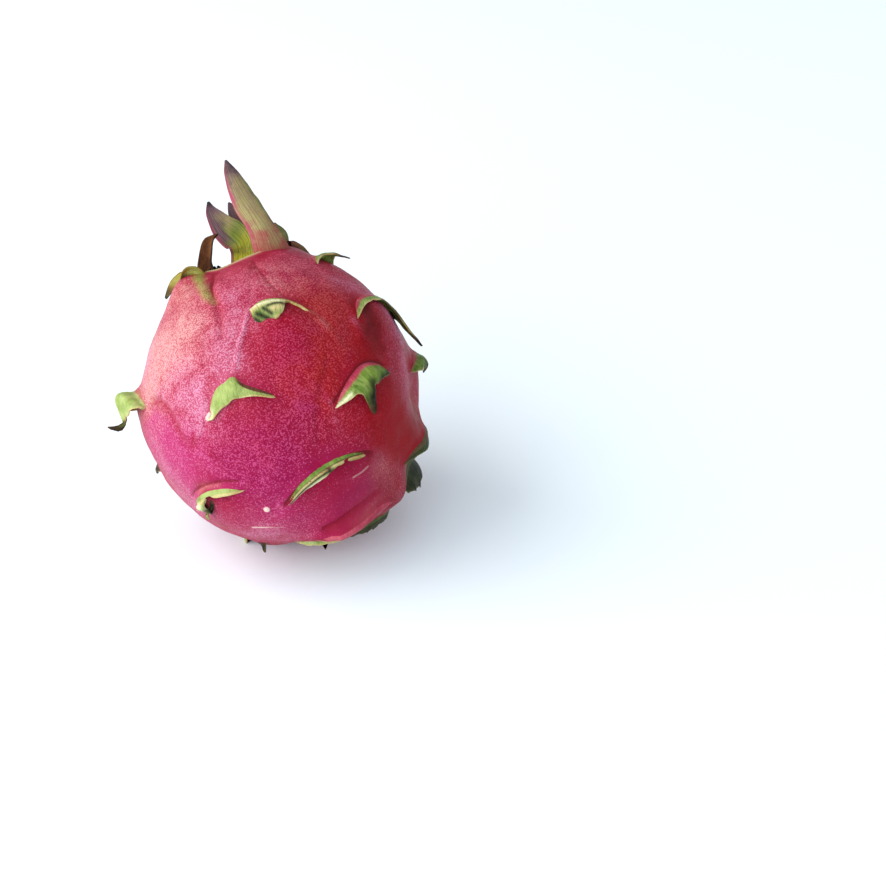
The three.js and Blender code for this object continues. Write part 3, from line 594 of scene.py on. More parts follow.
def back_scales():
    """The scales that face away: plain ones, each a little off its place in the ring."""
    chance = make_chance(BACK_SEED)
    scales = []
    for down, places in BACK_RINGS:
        for around in places:
            drawn = [chance() for _ in range(8)]
            scales.append(dict(
                down=down + BACK_PLACE_SPREAD * 0.5 * drawn[0],
                around=around + BACK_PLACE_SPREAD * drawn[1],
                width=about(BACK_WIDTH, drawn[2]) * max(BACK_LEAST_WIDTH, math.sin(math.radians(down))),
                rise=(5, 5),
                turn=about(BACK_TURN, drawn[3]),
                reach=about(BACK_REACH, drawn[4]),
                tip=about(BACK_TIP, drawn[5]),
                bend=(30, about(BACK_BEND, drawn[6]), 30, -5, -15),
                tail=about(BACK_TAIL, drawn[4]),
                swell=about(BACK_SWELL, drawn[7]),
                flare=1.2,
            ))
    return scales


SCALES = [place_scale(scale) for scale in FRONT_SCALES + back_scales()]


def back_tints():
    """The same leanings of colour, scattered over the side that faces away."""
    chance = make_chance(BACK_TINT_SEED)
    tints = []
    for index in range(BACK_TINT_COUNT):
        name = BACK_TINT_ORDER[index % len(BACK_TINT_ORDER)]
        drawn = [about(pair, chance()) for pair in (
            BACK_TINT_DOWN, BACK_TINT_AROUND, BACK_TINT_RADIUS, BACK_TINT_STRENGTH)]
        tints.append((name, *drawn))
    return tints


ALL_TINTS = [(name, *place) for name, places in TINTS.items() for place in places] + back_tints()


def smooth_curve(at, values, places):
    """Smooth curve through values that stand at these points, read at places, with the knots' slopes."""
    slopes = np.gradient(values, at, axis=0)
    index = np.clip(np.searchsorted(at, places) - 1, 0, len(at) - 2)
    width = at[index + 1] - at[index]
    t = np.clip((places - at[index]) / width, 0, 1)
    if values.ndim > 1:
        width, t = width[:, None], t[:, None]
    lead, trail = slopes[index] * width, slopes[index + 1] * width
    curve = ((2 * t ** 3 - 3 * t ** 2 + 1) * values[index] + (t ** 3 - 2 * t ** 2 + t) * lead
             + (3 * t ** 2 - 2 * t ** 3) * values[index + 1] + (t ** 3 - t ** 2) * trail)
    return curve, slopes


def curve_through(knots, places):
    """Smooth curve through (place, value) knots, read at these places. It runs straight on past them."""
    at, values = np.array(knots, float).T
    curve, slopes = smooth_curve(at, values, places)
    after = np.clip(places - at[-1], 0, CURVE_PAST) * slopes[-1]
    before = np.clip(places - at[0], -CURVE_PAST, 0) * slopes[0]
    return curve + (after + before)


def smooth_line(knots, parts):
    """Smooth curve through the knots, at parts of its way from 0 to 1, with its direction."""
    knots = np.array(knots, float)
    steps = np.linalg.norm(np.diff(knots[:, :3], axis=0), axis=1)
    place = np.concatenate(([0], np.cumsum(steps))) / steps.sum()
    curve, _ = smooth_curve(place, knots, parts)
    return curve, unit(np.gradient(curve[:, :3], axis=0))


def arch(scale, share):
    """How far the scale's foot curves down towards its two ends."""
    if scale["foot"]:
        return curve_through(scale["foot"], share)
    return np.where(share < 0, *scale["rise"]) * np.minimum(share ** 2, ARCH_MOST)


def place_distance(points, down, around):
    """Distance in mm from each point to a place on the rind."""
    return np.linalg.norm(points - direction(down, around) * BODY_RADIUS, axis=1)


def line_distance(points, line):
    """Distance in mm from each point to a line drawn through places on the rind, and how far along."""
    knots = [direction(*place) * BODY_RADIUS for place in line]
    best = np.full(len(points), 1e9)
    along = np.zeros(len(points))
    for index, (start, end) in enumerate(zip(knots, knots[1:])):
        run = end - start
        part = np.clip((points - start) @ run / (run @ run), 0, 1)
        away = np.linalg.norm(points - start - part[:, None] * run, axis=1)
        closer = away < best
        best = np.where(closer, away, best)
        along = np.where(closer, (index + part) / (len(knots) - 1), along)
    return best, along


def lumps(points, size, seed):
    """Smooth noise from -1 to 1 at points in mm."""
    shift = Vector([seed * step for step in LUMP_SHIFT])
    return np.array([noise.noise(Vector(point) / size + shift) for point in points])


def wander(places, waves, turn, shift):
    """Smooth noise from -1 to 1 along a line of places."""
    return np.array([noise.noise(Vector((place * waves, turn, shift))) for place in places])


def raise_foot(units, scale, height, masks):
    """Shapes the rind round a scale's foot: the swelling, its lip, the crease above and two ridges."""
    facing = np.clip(units @ scale["out"], -1, 1)
    near = np.where(facing > FACING_LEAST)[0]
    angle = np.arccos(facing[near])
    stretch = BODY_RADIUS * angle / np.maximum(np.sin(angle), 1e-6)
    across = (units[near] @ scale["across"]) * stretch
    down = (units[near] @ scale["downward"]) * stretch
    half = scale["width"] / 2
    share = across / half
    below = down - arch(scale, share)
    body = bell(share, 1) * bell(np.maximum(below, 0), SWELL_LENGTH)
    swelling = smooth(-SWELL_START, SWELL_START, below) * body
    window = np.maximum(0, 1 - share ** 2)
    above = np.exp(np.minimum(below, 0) / scale["flare_run"])
    drop = np.exp(-np.maximum(below, 0) / FLARE_DROP)
    height[near] += scale["swell"] * swelling + scale["flare"] * above * drop * window
    rise = np.where(across < 0, *arch(scale, np.array((-1.0, 1.0))))
    foot = np.abs(across) - half * (1 + RIDGE_SPREAD * (down - rise))
    run = down - rise * RIDGE_RISE
    ridge = bell(foot, RIDGE_WIDTH) * smooth(-RIDGE_START, 0, run)
    ridge = ridge * np.exp(-np.maximum(run, 0) / RIDGE_LENGTH)
    ridge = ridge * np.where(across < 0, *scale["ridges"])
    height[near] += RIDGE_HEIGHT * ridge
    groove = bell(below + scale["axil_run"], AXIL_WIDTH) * smooth(*AXIL_ENDS, np.abs(share))
    height[near] -= scale["axil"] * AXIL_DEPTH * groove
    # The crease mask darkens the rind along the groove: painted shade in the crease.
    masks["crease"][near] += scale["axil"] * groove
    masks["deep"][near] += smooth(*DEEP_START, below) * body
    # Painted highlight along the ridge.
    masks["pale"][near] += RIDGE_HIGHLIGHT * ridge
    masks["bare"][near] += above * window * (below < 0)
    # Darker rind just below the foot: partly a deeper colour, partly painted shade under the blade.
    shade = np.exp(-np.maximum(below, 0) / UNDER_LENGTH)
    masks["under"][near] += shade * (below > -UNDER_ABOVE) * window


def draw_line(points, line, height, masks):
    """Presses a fine line into the rind, or raises it, and colours it."""
    away, along = line_distance(points, line["line"])
    fade = 1 - LINE_FADE * along ** 2 if line["fades"] else 1
    groove = np.maximum(0, 1 - away / line["width"])
    height -= line["depth"] * smooth(0, 1, groove) * fade
    taken = masks[line["mask"]]
    np.maximum(taken, line["strength"] * groove * fade, out=taken)


def survey(units):
    """Height of the rind above the smooth body in each direction, with masks for its colours."""
    points = units * BODY_RADIUS
    height = np.zeros(len(units))
    masks = {name: np.zeros(len(units)) for name in RIND_MASKS}
    for scale in SCALES:
        raise_foot(units, scale, height, masks)
    for line in RIND_LINES:
        draw_line(points, {**PLAIN_LINE, **line}, height, masks)
    for down, around, radius, depth in HOLLOWS:
        height -= depth * bell(place_distance(points, down, around), radius)
    for name, down, around, radius, strength in ALL_TINTS:
        masks[name] += strength * bell(place_distance(points, down, around), radius)
    shoulders = np.zeros(len(units))
    for scale in CROWN_SCALES:
        *middle, rise, width = scale.get("shoulder", (*scale["knots"][0][:3], *CROWN_SHOULDER))
        shoulders += rise * bell(np.linalg.norm(points - np.array(middle), axis=1), width)
    height += (LUMP_HEIGHT * lumps(points, LUMP_SIZE, 1)
               + SMALL_LUMP_SHARE * LUMP_HEIGHT * lumps(points, SMALL_LUMP_SIZE, 2))
    crown_angle = np.degrees(np.arccos(np.clip(units[:, 2], -1, 1)))
    rest_angle = np.degrees(np.arccos(np.clip(units @ REST_DIRECTION, -1, 1)))
    ends = smooth(*CROWN_CLEAR, crown_angle) * smooth(*SCAR_CLEAR, 180 - crown_angle)
    height = (height - RELIEF_LEVEL) * ends * smooth(*REST_CLEAR, rest_angle) + shoulders
    masks["bare"] += 1 - smooth(*CROWN_BARE, crown_angle)
    return height, {name: np.clip(values, 0, 1) for name, values in masks.items()}


def shape_rind(units, height):
    """Points of the rind in these directions, with the crater and the hollow round the scar."""
    round_share = np.hypot(units[:, 0], units[:, 1])
    reach = 1 / np.hypot(round_share / BODY_RADIUS, units[:, 2] / BODY_HALF_LENGTH)
    points = units * (reach + height)[:, None]
    smooth_points = units * reach[:, None]
    radius = np.hypot(smooth_points[:, 0], smooth_points[:, 1])
    crownward = smooth_points[:, 2] > 0
    share = radius / CRATER_RADIUS
    lip, lip_width = CRATER_LIP
    bowl = CRATER_LIP_HEIGHT * bell(share - lip, lip_width)
    bowl = bowl - CRATER_DEPTH * (1 - smooth(*CRATER_WALL, share))
    tipped = 1 - smooth(CRATER_RADIUS, CRATER_REACH, radius)
    tipped = tipped * (math.tan(math.radians(CRATER_TIP)) * smooth_points[:, 0] - CRATER_SINK)
    scar = SCAR_DEPTH * bell(radius, SCAR_RADIUS)
    scar -= STUB_HEIGHT * (1 - smooth(STUB_RADIUS - STUB_EDGE, STUB_RADIUS + STUB_EDGE, radius))
    points[:, 2] += np.where(crownward, bowl + tipped, scar)
    return points


def new_object(name, bm, material):
    """Takes a bmesh to an object at the origin."""
    mesh = bpy.data.meshes.new(name)
    bm.to_mesh(mesh)
    bm.free()
    mesh.materials.append(material)
    made = bpy.data.objects.new(name, mesh)
    bpy.context.scene.collection.objects.link(made)
    return made


def new_piece(name, bm, material):
    """Takes a bmesh to a finished, smooth-shaded piece of the fruit."""
    piece = new_object(name, bm, material)
    piece.data.polygons.foreach_set("use_smooth", [True] * len(piece.data.polygons))
    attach(piece, BODY)
    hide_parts(NODE)


def mask_layers(bm, names):
    """Float attributes of the mesh's points, one for each mask."""
    made = bm.verts.layers.float
    return {name: made.get(name) or made.new(name) for name in names}


def make_rind(material):
    """A cube cut into even squares, blown up to the rind's shape."""
    bm = bmesh.new()
    bmesh.ops.create_cube(bm, size=2)
    bmesh.ops.subdivide_edges(bm, edges=bm.edges[:], cuts=BODY_CUTS, use_grid_fill=True)
    layers = mask_layers(bm, RIND_MASKS)
    cube = np.array([vert.co[:] for vert in bm.verts])
    units = unit(np.tan(cube * math.pi / 4))
    height, masks = survey(units)
    points = lay(shape_rind(units, height))
    share = np.hypot(units[:, 0], units[:, 1]) * BODY_HALF_LENGTH / CRATER_RADIUS
    rim, rim_width = CRATER_RIM
    masks["rim"] = (units[:, 2] > 0) * bell(share - rim, rim_width)
    pit = (units[:, 2] > 0) * (1 - smooth(*CRATER_PIT, share))
    stub = (units[:, 2] < 0) * (1 - smooth(*STUB_TONE, share * CRATER_RADIUS / STUB_RADIUS))
    masks["pit"] = np.maximum(pit, stub)
    for name, layer in layers.items():
        for vert, value in zip(bm.verts, masks[name]):
            vert[layer] = value
    for vert, point in zip(bm.verts, points):
        vert.co = point
    new_piece("rind", bm, material)


def add_blade(bm, front, back, masks):
    """Adds a closed thin blade to the bmesh: rows and columns of points for its front and its back."""
    rows, columns = front.shape[:2]
    layers = mask_layers(bm, masks)
    first = len(bm.verts)
    grid = bmesh.ops.create_grid(bm, x_segments=columns - 1, y_segments=rows - 1, size=1)
    bm.verts.ensure_lookup_table()
    sheet = list(dict.fromkeys(face for vert in grid["verts"] for face in vert.link_faces))
    sheet += list(dict.fromkeys(edge for vert in grid["verts"] for edge in vert.link_edges))
    made = bmesh.ops.extrude_face_region(bm, geom=sheet, use_keep_orig=True)
    copies = [item for item in made["geom"] if isinstance(item, bmesh.types.BMVert)]
    for verts, points in ((grid["verts"], back), (copies, front)):
        for vert in verts:
            row = round((vert.co.y + 1) / 2 * (rows - 1))
            column = round((vert.co.x + 1) / 2 * (columns - 1))
            for name, layer in layers.items():
                vert[layer] = masks[name][row, column]
            vert.co = points[row, column]
    bm.verts.ensure_lookup_table()
    faces = list(dict.fromkeys(face for vert in bm.verts[first:] for face in vert.link_faces))
    bmesh.ops.recalc_face_normals(bm, faces=faces)


def sheet_normals(sheet, toward):
    """Unit normals of a sheet of points, on the side that looks toward a direction at its root."""
    along = np.gradient(sheet, axis=0)
    across = np.gradient(sheet, axis=1)
    normals = np.cross(across, along)
    normals /= np.maximum(np.linalg.norm(normals, axis=2), 1e-9)[:, :, None]
    middle = sheet.shape[1] // 2
    if normals[0, middle] @ toward < 0:
        normals = -normals
    return normals


def blade_outline(scale, seed):
    """Places across a blade from -1 to 1, how far out each is, and how long the blade is there."""
    share = np.linspace(-1, 1, SCALE_COLUMNS + 1)
    side = np.abs(share)
    tip = scale["tip"]
    if scale["blade"]:
        length = np.maximum(curve_through(scale["blade"], share), LEAST_LENGTH)
    else:
        side = side ** TIP_CROWDING
        share = np.where(share < 0, tip - side * (tip + 1), tip + side * (1 - tip))
        length = scale["reach"] * (1 - side) ** scale["point"]
    worn = wander(share, WEAR, seed * 3.7, 0.5)
    worn += FINE_WEAR_SHARE * wander(share, FINE_WEAR, seed * 1.9, 4.5)
    length = length * (1 + 2 * scale["ragged"] * worn)
    return share, side, length + scale["tail"] * bell(side, TAIL_SHARE)


def root_rows(scale, share, side):
    """Rows of points from under the skin up to the blade's foot, and the way out of the skin there."""
    half = scale["width"] / 2
    start = arch(scale, share)
    run_up = ROOT_RUN * np.sqrt(np.maximum(1 - share ** 2, 0)) + ROOT_RUN_LEAST
    rows = []
    for row in range(ROOT_ROWS):
        part = row / (ROOT_ROWS - 1)
        down = start - run_up * (1 - part) - ROOT_ABOVE
        units = scale["out"] + np.outer(share * half / BODY_RADIUS, scale["across"])
        units = unit(units + np.outer(down / BODY_RADIUS, scale["downward"]))
        proud = (ROOT_SUNK + ROOT_PROUD) * smooth(0, 1, part) - ROOT_SUNK
        proud = proud - ROOT_SIDE_SUNK * side ** ROOT_SIDE_FALL
        rows.append(shape_rind(units, survey(units)[0] + proud))
    return rows, units


def blade_rows(scale, share, length, point, units, seed):
    """Rows of points from the foot, through the blade's bends, to its edge."""
    inward = (scale["tip"] - share)[:, None] * scale["gather"] * scale["across"]
    along = scale["downward"] + inward
    along = unit(along - (along * units).sum(axis=1)[:, None] * units)
    own = 0.5 * length + 0.5 * length.max()
    wave = wander(share, WAVES, seed * 5.1, 8.5)
    step = (length / BLADE_ROWS)[:, None]
    rows = []
    for row in range(1, BLADE_ROWS + 1):
        part = row / BLADE_ROWS
        angle = along_blade(scale["bend"], length * part / own)
        angle = np.radians(angle + WAVE * wave * part)
        point = point + step * (np.cos(angle)[:, None] * along + np.sin(angle)[:, None] * units)
        rows.append(point)
    return rows


def scale_masks(scale, share, length, blade):
    """Masks for the colours of a blade, by rows and columns. blade is 0 at its foot and 1 at its edge."""
    half = scale["width"] / 2
    to_edge = length[None, :] * (1 - blade[:, None])
    from_root = length[None, :] * blade[:, None]
    on_blade = blade[:, None] > 0
    dry_low, dry_high = DRY_START
    masks = {name: np.zeros(from_root.shape) for name in SCALE_MASKS}
    masks["green"] = scale["green"] * smooth(scale["blush"] - BLUSH_EASE, scale["blush"] + BLUSH_EASE,
                                             from_root)
    masks["edge"] = bell(to_edge, EDGE_LINE) * on_blade
    masks["dry"] = smooth(scale["reach"] * dry_low, scale["reach"] * dry_high, from_root)
    masks["dark"] = scale["dark"] * smooth(*DARK_START, from_root)
    masks["light"] = masks["light"] + scale["light"]
    # Painted shade: dark red along the right half of the root, in the crease above the blade.
    masks["rim_shade"] = (scale["rim_shade"] * (1 - smooth(*RIM_SHADE_TOP, from_root))
                         * smooth(*RIM_SHADE_SIDE, share))
    place = np.stack((half * share * np.ones(from_root.shape), from_root), axis=2)
    for name, start, end, width in scale["strokes"]:
        start = np.array(start) * (half, 1)
        run = np.array(end) * (half, 1) - start
        part = np.clip((place - start) @ run / (run @ run), 0, 1)
        away = np.linalg.norm(place - start - part[:, :, None] * run, axis=2)
        masks[name] = np.maximum(masks[name], bell(away, width) * on_blade)
    masks["edge"] = masks["edge"] * (1 - EDGE_LOST * masks["dark"])
    masks["run"] = blade[:, None] * np.ones(len(share))
    masks["span"] = np.ones(len(blade))[:, None] * share
    return masks


def add_scale(bm, scale, seed):
    """Adds a scale of the rind. It leaves its foot outwards, then runs through its bends."""
    share, side, length = blade_outline(scale, seed)
    rows, units = root_rows(scale, share, side)
    rows += blade_rows(scale, share, length, rows[-1], units, seed)
    front = np.array(rows)
    normals = sheet_normals(front, scale["out"])
    blade = np.clip((np.arange(len(rows)) - ROOT_ROWS + 1) / BLADE_ROWS, 0, 1)
    bumps = lumps(front.reshape(-1, 3), BLADE_LUMP_SIZE, seed).reshape(front.shape[:2])
    front = front + normals * (BLADE_LUMP * bumps * blade[:, None])[:, :, None]
    thick = ROOT_THICKNESS + (EDGE_THICKNESS - ROOT_THICKNESS) * blade ** THICKNESS_FALL
    back = front - normals * thick[:, None, None]
    add_blade(bm, lay_sheet(front), lay_sheet(back), scale_masks(scale, share, length, blade))


def along_blade(values, part):
    """Evenly spaced values read at parts of the way from 0 to 1."""
    return np.interp(part, np.linspace(0, 1, len(values)), values)


def crown_masks(scale, columns, parts):
    """Masks for the colours of a crown scale, by rows and columns."""
    masks = {}
    for name in CROWN_MASKS:
        tone = along_blade(scale["tones"].get(name, (0, 0)), parts)
        left, right, out, along = (*scale["halves"].get(name, (0, 0, 0.5)), CROWN_SIDE_START)[:4]
        side = np.where(columns < 0, left, right)
        side = side * smooth(out - CROWN_SIDE_EASE, out + CROWN_SIDE_EASE, np.abs(columns))
        begun = smooth(along - CROWN_ALONG_EASE, along + CROWN_ALONG_EASE, parts)
        masks[name] = np.maximum(tone[:, None], side[None, :] * begun[:, None])
    masks["run"] = parts[:, None] * np.ones(len(columns))
    masks["span"] = np.ones(len(parts))[:, None] * columns
    return masks


def add_crown_scale(bm, scale, seed):
    """Adds a crown scale: a long blade, hollowed along its face, from the crater's rim to its point."""
    front, back = [], []
    columns = np.linspace(-1, 1, CROWN_COLUMNS + 1)
    parts = np.linspace(0, 1, CROWN_ROWS + 1)
    curve, headings = smooth_line(scale["knots"], parts)
    for part, knot, along in zip(parts, curve, headings):
        point, breadth = knot[:3], max(knot[3], CROWN_LEAST_WIDTH)
        spread = direction(90, along_blade(scale["breadth"], part))
        side = spread - (spread @ along) * along
        side /= np.linalg.norm(side)
        normal = np.cross(side, along)
        fall = part ** CROWN_THICKNESS_FALL
        half = (scale["thick"] + (CROWN_TIP_THICKNESS - scale["thick"]) * fall) / 2
        sway = noise.noise(Vector((part * CROWN_SWAYS, seed * 4.1, 0.7))) * CROWN_SWAY * part * columns
        middle = point + np.outer((columns + sway) * breadth / 2, side)
        lift = scale["hollow"] * breadth * (columns ** 2 - CROWN_HOLLOW_LEVEL)
        middle = middle + np.outer(lift, normal)
        thin = half * (1 - CROWN_EDGE * columns ** 2)
        front.append(middle + np.outer(thin, normal))
        back.append(middle - np.outer(thin, normal))
    front, back = np.array(front), np.array(back)
    middle = ((front + back) / 2).reshape(-1, 3)
    bump = scale.get("ruffle", CROWN_LUMP) * lumps(middle, CROWN_LUMP_SIZE, seed + CROWN_LUMP_SEED)
    moved = np.outer(bump, CROWN_LUMP_HEADING).reshape(front.shape)
    masks = crown_masks(scale, columns, parts)
    add_blade(bm, lay_sheet(front + moved), lay_sheet(back + moved), masks)


def colour(red, green, blue):
    """Screen colour in 0-255 to the linear colour that shaders take."""
    def linear(value):
        value /= 255
        return value / 12.92 if value <= 0.04045 else ((value + 0.055) / 1.055) ** 2.4

    return linear(red), linear(green), linear(blue), 1


def add(tree, kind, values=(), **settings):
    """New shader node with its settings, and its sockets set or linked."""
    node = tree.nodes.new("ShaderNode" + kind)
    for name, value in settings.items():
        setattr(node, name, value)
    for key, value in dict(values).items():
        if isinstance(value, bpy.types.NodeSocket):
            tree.links.new(value, node.inputs[key])
        else:
            node.inputs[key].default_value = value
    return node


def calc(tree, operation, *values, clamp=False):
    """Sum, product or the like of two values, or of three."""
    return add(tree, "Math", enumerate(values), operation=operation, use_clamp=clamp).outputs[0]


def ramp(tree, value, low, high, start=0.0, end=1.0):
    """Value eased from start to end while the input goes from low to high."""
    sockets = {"Value": value, "From Min": low, "From Max": high, "To Min": start, "To Max": end}
    return add(tree, "MapRange", sockets, interpolation_type="SMOOTHSTEP").outputs[0]


def mix(tree, factor, under, over):
    """One colour laid over another. Either may be given as a screen colour."""
    under, over = (colour(*tone) if isinstance(tone, tuple) else tone for tone in (under, over))
    return add(tree, "Mix", {0: factor, 6: under, 7: over}, data_type="RGBA").outputs[2]


def mask(tree, name):
    """A mask that the mesh carries."""
    return add(tree, "Attribute", attribute_name=name).outputs["Fac"]


def noise_at(tree, place, scale, detail, roughness):
    """Outputs of a noise texture read at a place."""
    sockets = {"Vector": place, "Scale": scale, "Detail": detail, "Roughness": roughness}
    return add(tree, "TexNoise", sockets).outputs


def new_group(name, inputs, outputs):
    """New node group with its inputs and outputs, each a (name, kind)."""
    group = bpy.data.node_groups.new(name, "ShaderNodeTree")
    for way, sockets in (("INPUT", inputs), ("OUTPUT", outputs)):
        for socket, kind in sockets:
            group.interface.new_socket(socket, in_out=way, socket_type="NodeSocket" + kind)
    return group, group.nodes.new("NodeGroupInput").outputs, group.nodes.new("NodeGroupOutput").inputs


def make_fleck_group():
    """Field from 0 to 1 that turns into a pitaya's crowded wavy flecks where it is cut at a level."""
    group, given, taken = new_group("rind_flecks", [("Vector", "Vector")], [("Flecks", "Float")])
    bend = noise_at(group, given["Vector"], FLECK_BEND_SCALE, 1, 0.5)["Color"]
    bend = add(group, "VectorMath", {0: bend, 1: (0.5, 0.5, 0.5)}, operation="SUBTRACT").outputs[0]
    bend = add(group, "VectorMath", {0: bend, "Scale": FLECK_BEND}, operation="SCALE").outputs[0]
    place = add(group, "VectorMath", {0: given["Vector"], 1: bend}).outputs[0]
    cells = add(group, "TexVoronoi", {"Vector": place, "Scale": FLECK_SCALE})
    dots = ramp(group, cells.outputs["Distance"], 0.75, 0.1, 0, FLECK_DOTS)
    worms = noise_at(group, place, FLECK_SCALE * WORM_SCALE, 1.5, 0.55)[0]
    worms = ramp(group, worms, 0.3, 0.7, 0, FLECK_WORMS)
    group.links.new(calc(group, "ADD", dots, worms), taken["Flecks"])
    return group


def make_mottle_group():
    """Soft uneven patches and a fine grain, from 0 to 1."""
    group, given, taken = new_group("rind_mottle", [("Vector", "Vector")],
                                    [("Mottle", "Float"), ("Grain", "Float")])
    soft = noise_at(group, given["Vector"], MOTTLE_SCALE, 4, 0.6)[0]
    group.links.new(ramp(group, soft, 0.3, 0.7), taken["Mottle"])
    fine = noise_at(group, given["Vector"], GRAIN_SCALE, 3, 0.6)[0]
    group.links.new(fine, taken["Grain"])
    return group


def make_vein_group():
    """Fine lines that run the length of a blade, from its run and span."""
    group, given, taken = new_group("blade_veins", [("Run", "Float"), ("Span", "Float")],
                                    [("Veins", "Float")])
    run = calc(group, "MULTIPLY", given["Run"], VEINS_ALONG)
    span = calc(group, "MULTIPLY", given["Span"], VEINS_ACROSS)
    place = add(group, "CombineXYZ", {0: span, 1: run}).outputs[0]
    lines = noise_at(group, place, 1, 3, 0.6)[0]
    group.links.new(ramp(group, lines, 0.35, 0.65), taken["Veins"])
    return group


def new_material(name):
    """New material with its tree, its shader, and the mottle and grain that it is broken up by."""
    material = bpy.data.materials.new(name)
    material.use_nodes = True
    tree = material.node_tree
    place = add(tree, "TexCoord").outputs["Object"]
    given = add(tree, "Group", {"Vector": place}, node_tree=GROUPS["mottle"]).outputs
    parts = dict(mottle=given["Mottle"], grain=given["Grain"], shader=tree.nodes["Principled BSDF"],
                 place=place)
    return material, tree, parts


def uneven(tree, amount, parts, strength=1.2):
    """A mask with its half-way values broken up by the mottle."""
    inside = calc(tree, "MULTIPLY", amount, calc(tree, "SUBTRACT", 1, amount))
    shift = calc(tree, "SUBTRACT", parts["mottle"], 0.5)
    shift = calc(tree, "MULTIPLY", calc(tree, "MULTIPLY", inside, shift), strength * 2)
    return calc(tree, "ADD", amount, shift, clamp=True)


def finish_material(tree, parts, base, roughness, height, bump, gloss):
    """Links colour, roughness and bumps, whose height in metres is bump, to the shader."""
    height = calc(tree, "ADD", height, parts["grain"])
    shader = parts["shader"]
    tree.links.new(base, shader.inputs["Base Color"])
    tree.links.new(roughness, shader.inputs["Roughness"])
    sockets = {"Height": height, "Distance": bump, "Strength": 1}
    tree.links.new(add(tree, "Bump", sockets).outputs[0], shader.inputs["Normal"])
    shader.inputs["Specular IOR Level"].default_value = gloss


def make_rind_material():
    """Skin whose tones drift with the masks, under pale flecks, with creases, cork, rim and pit."""
    material, tree, parts = new_material("waxy_rind")
    flecks = add(tree, "Group", {"Vector": parts["place"]}, node_tree=GROUPS["flecks"]).outputs["Flecks"]
    tone = mix(tree, parts["mottle"], (138, 16, 44), (152, 30, 58))
    fleck_tone = FLECK_TONE
    for name, strength, between, on_fleck in RIND_TONES:
        amount = calc(tree, "MULTIPLY", uneven(tree, mask(tree, name), parts), strength)
        tone = mix(tree, amount, tone, between)
        fleck_tone = mix(tree, amount, fleck_tone, on_fleck)
    cover = FLECK_COVER
    for name, more in FLECK_COVERS:
        cover = calc(tree, "MULTIPLY_ADD", mask(tree, name), more, cover)
    crowd = ramp(tree, parts["mottle"], 0, 1, -0.05, 0.05)
    level = calc(tree, "SUBTRACT", 1, calc(tree, "ADD", cover, crowd))
    amount = ramp(tree, calc(tree, "SUBTRACT", flecks, level), -0.15, 0.15, 0, FLECK_STRENGTH)
    tone = mix(tree, amount, tone, fleck_tone)
    # Creases take a dark red, which is painted shade down in the groove; cork takes the pale colour of
    # the corky spots.
    for name, high, layer in (("crease", 0.62, (112, 20, 30)), ("cork", 0.6, (232, 206, 190))):
        tone = mix(tree, ramp(tree, mask(tree, name), 0.3, high, 0, 0.85), tone, layer)
    tone = mix(tree, calc(tree, "MULTIPLY", mask(tree, "rim"), 0.9), tone, (196, 198, 146))
    pit = mix(tree, parts["mottle"], (120, 84, 52), (176, 150, 110))
    tone = mix(tree, mask(tree, "pit"), tone, pit)
    roughness = ramp(tree, parts["mottle"], 0, 1, 0.38, 0.5)
    height = calc(tree, "MULTIPLY", amount, 0.4)
    finish_material(tree, parts, tone, roughness, height, RIND_BUMP, RIND_GLOSS)
    return material


def add_veins(tree):
    """The veins of a blade, from its own run and span."""
    sockets = {"Run": mask(tree, "run"), "Span": mask(tree, "span")}
    return add(tree, "Group", sockets, node_tree=GROUPS["veins"]).outputs["Veins"]


def make_scale_material():
    material, tree, parts = new_material("leafy_scale")
    mottle = parts["mottle"]
    veins = add_veins(tree)
    skin = mix(tree, mottle, (158, 40, 66), (186, 84, 98))
    green = mix(tree, mottle, (66, 98, 28), (108, 134, 48))
    light = mix(tree, mottle, (134, 152, 70), (186, 194, 128))
    green = mix(tree, mask(tree, "light"), green, light)
    green = mix(tree, calc(tree, "MULTIPLY", veins, 0.3), green, (178, 190, 112))
    tone = mix(tree, uneven(tree, mask(tree, "green"), parts, BLADE_UNEVEN), skin, green)
    for name, strength, layer in (
            ("dark", 1.0, mix(tree, mottle, (14, 14, 8), (46, 50, 24))),
            ("edge", 0.75, mix(tree, mottle, (196, 150, 96), (214, 196, 140))),
            ("cream", 0.9, mix(tree, mottle, (196, 200, 140), (226, 224, 184))),
            ("torn", 0.95, (30, 28, 24)),
            # painted shade in the crease above the blade's root
            ("rim_shade", 0.9, (84, 10, 30)),
            ("dry", 1.0, mix(tree, mottle, (34, 28, 20), (98, 72, 48)))):
        tone = mix(tree, calc(tree, "MULTIPLY", mask(tree, name), strength), tone, layer)
    roughness = ramp(tree, mask(tree, "dry"), 0, 1, 0.45, 0.75)
    height = calc(tree, "MULTIPLY", veins, 1.5)
    finish_material(tree, parts, tone, roughness, height, SCALE_BUMP, BLADE_GLOSS)
    return material


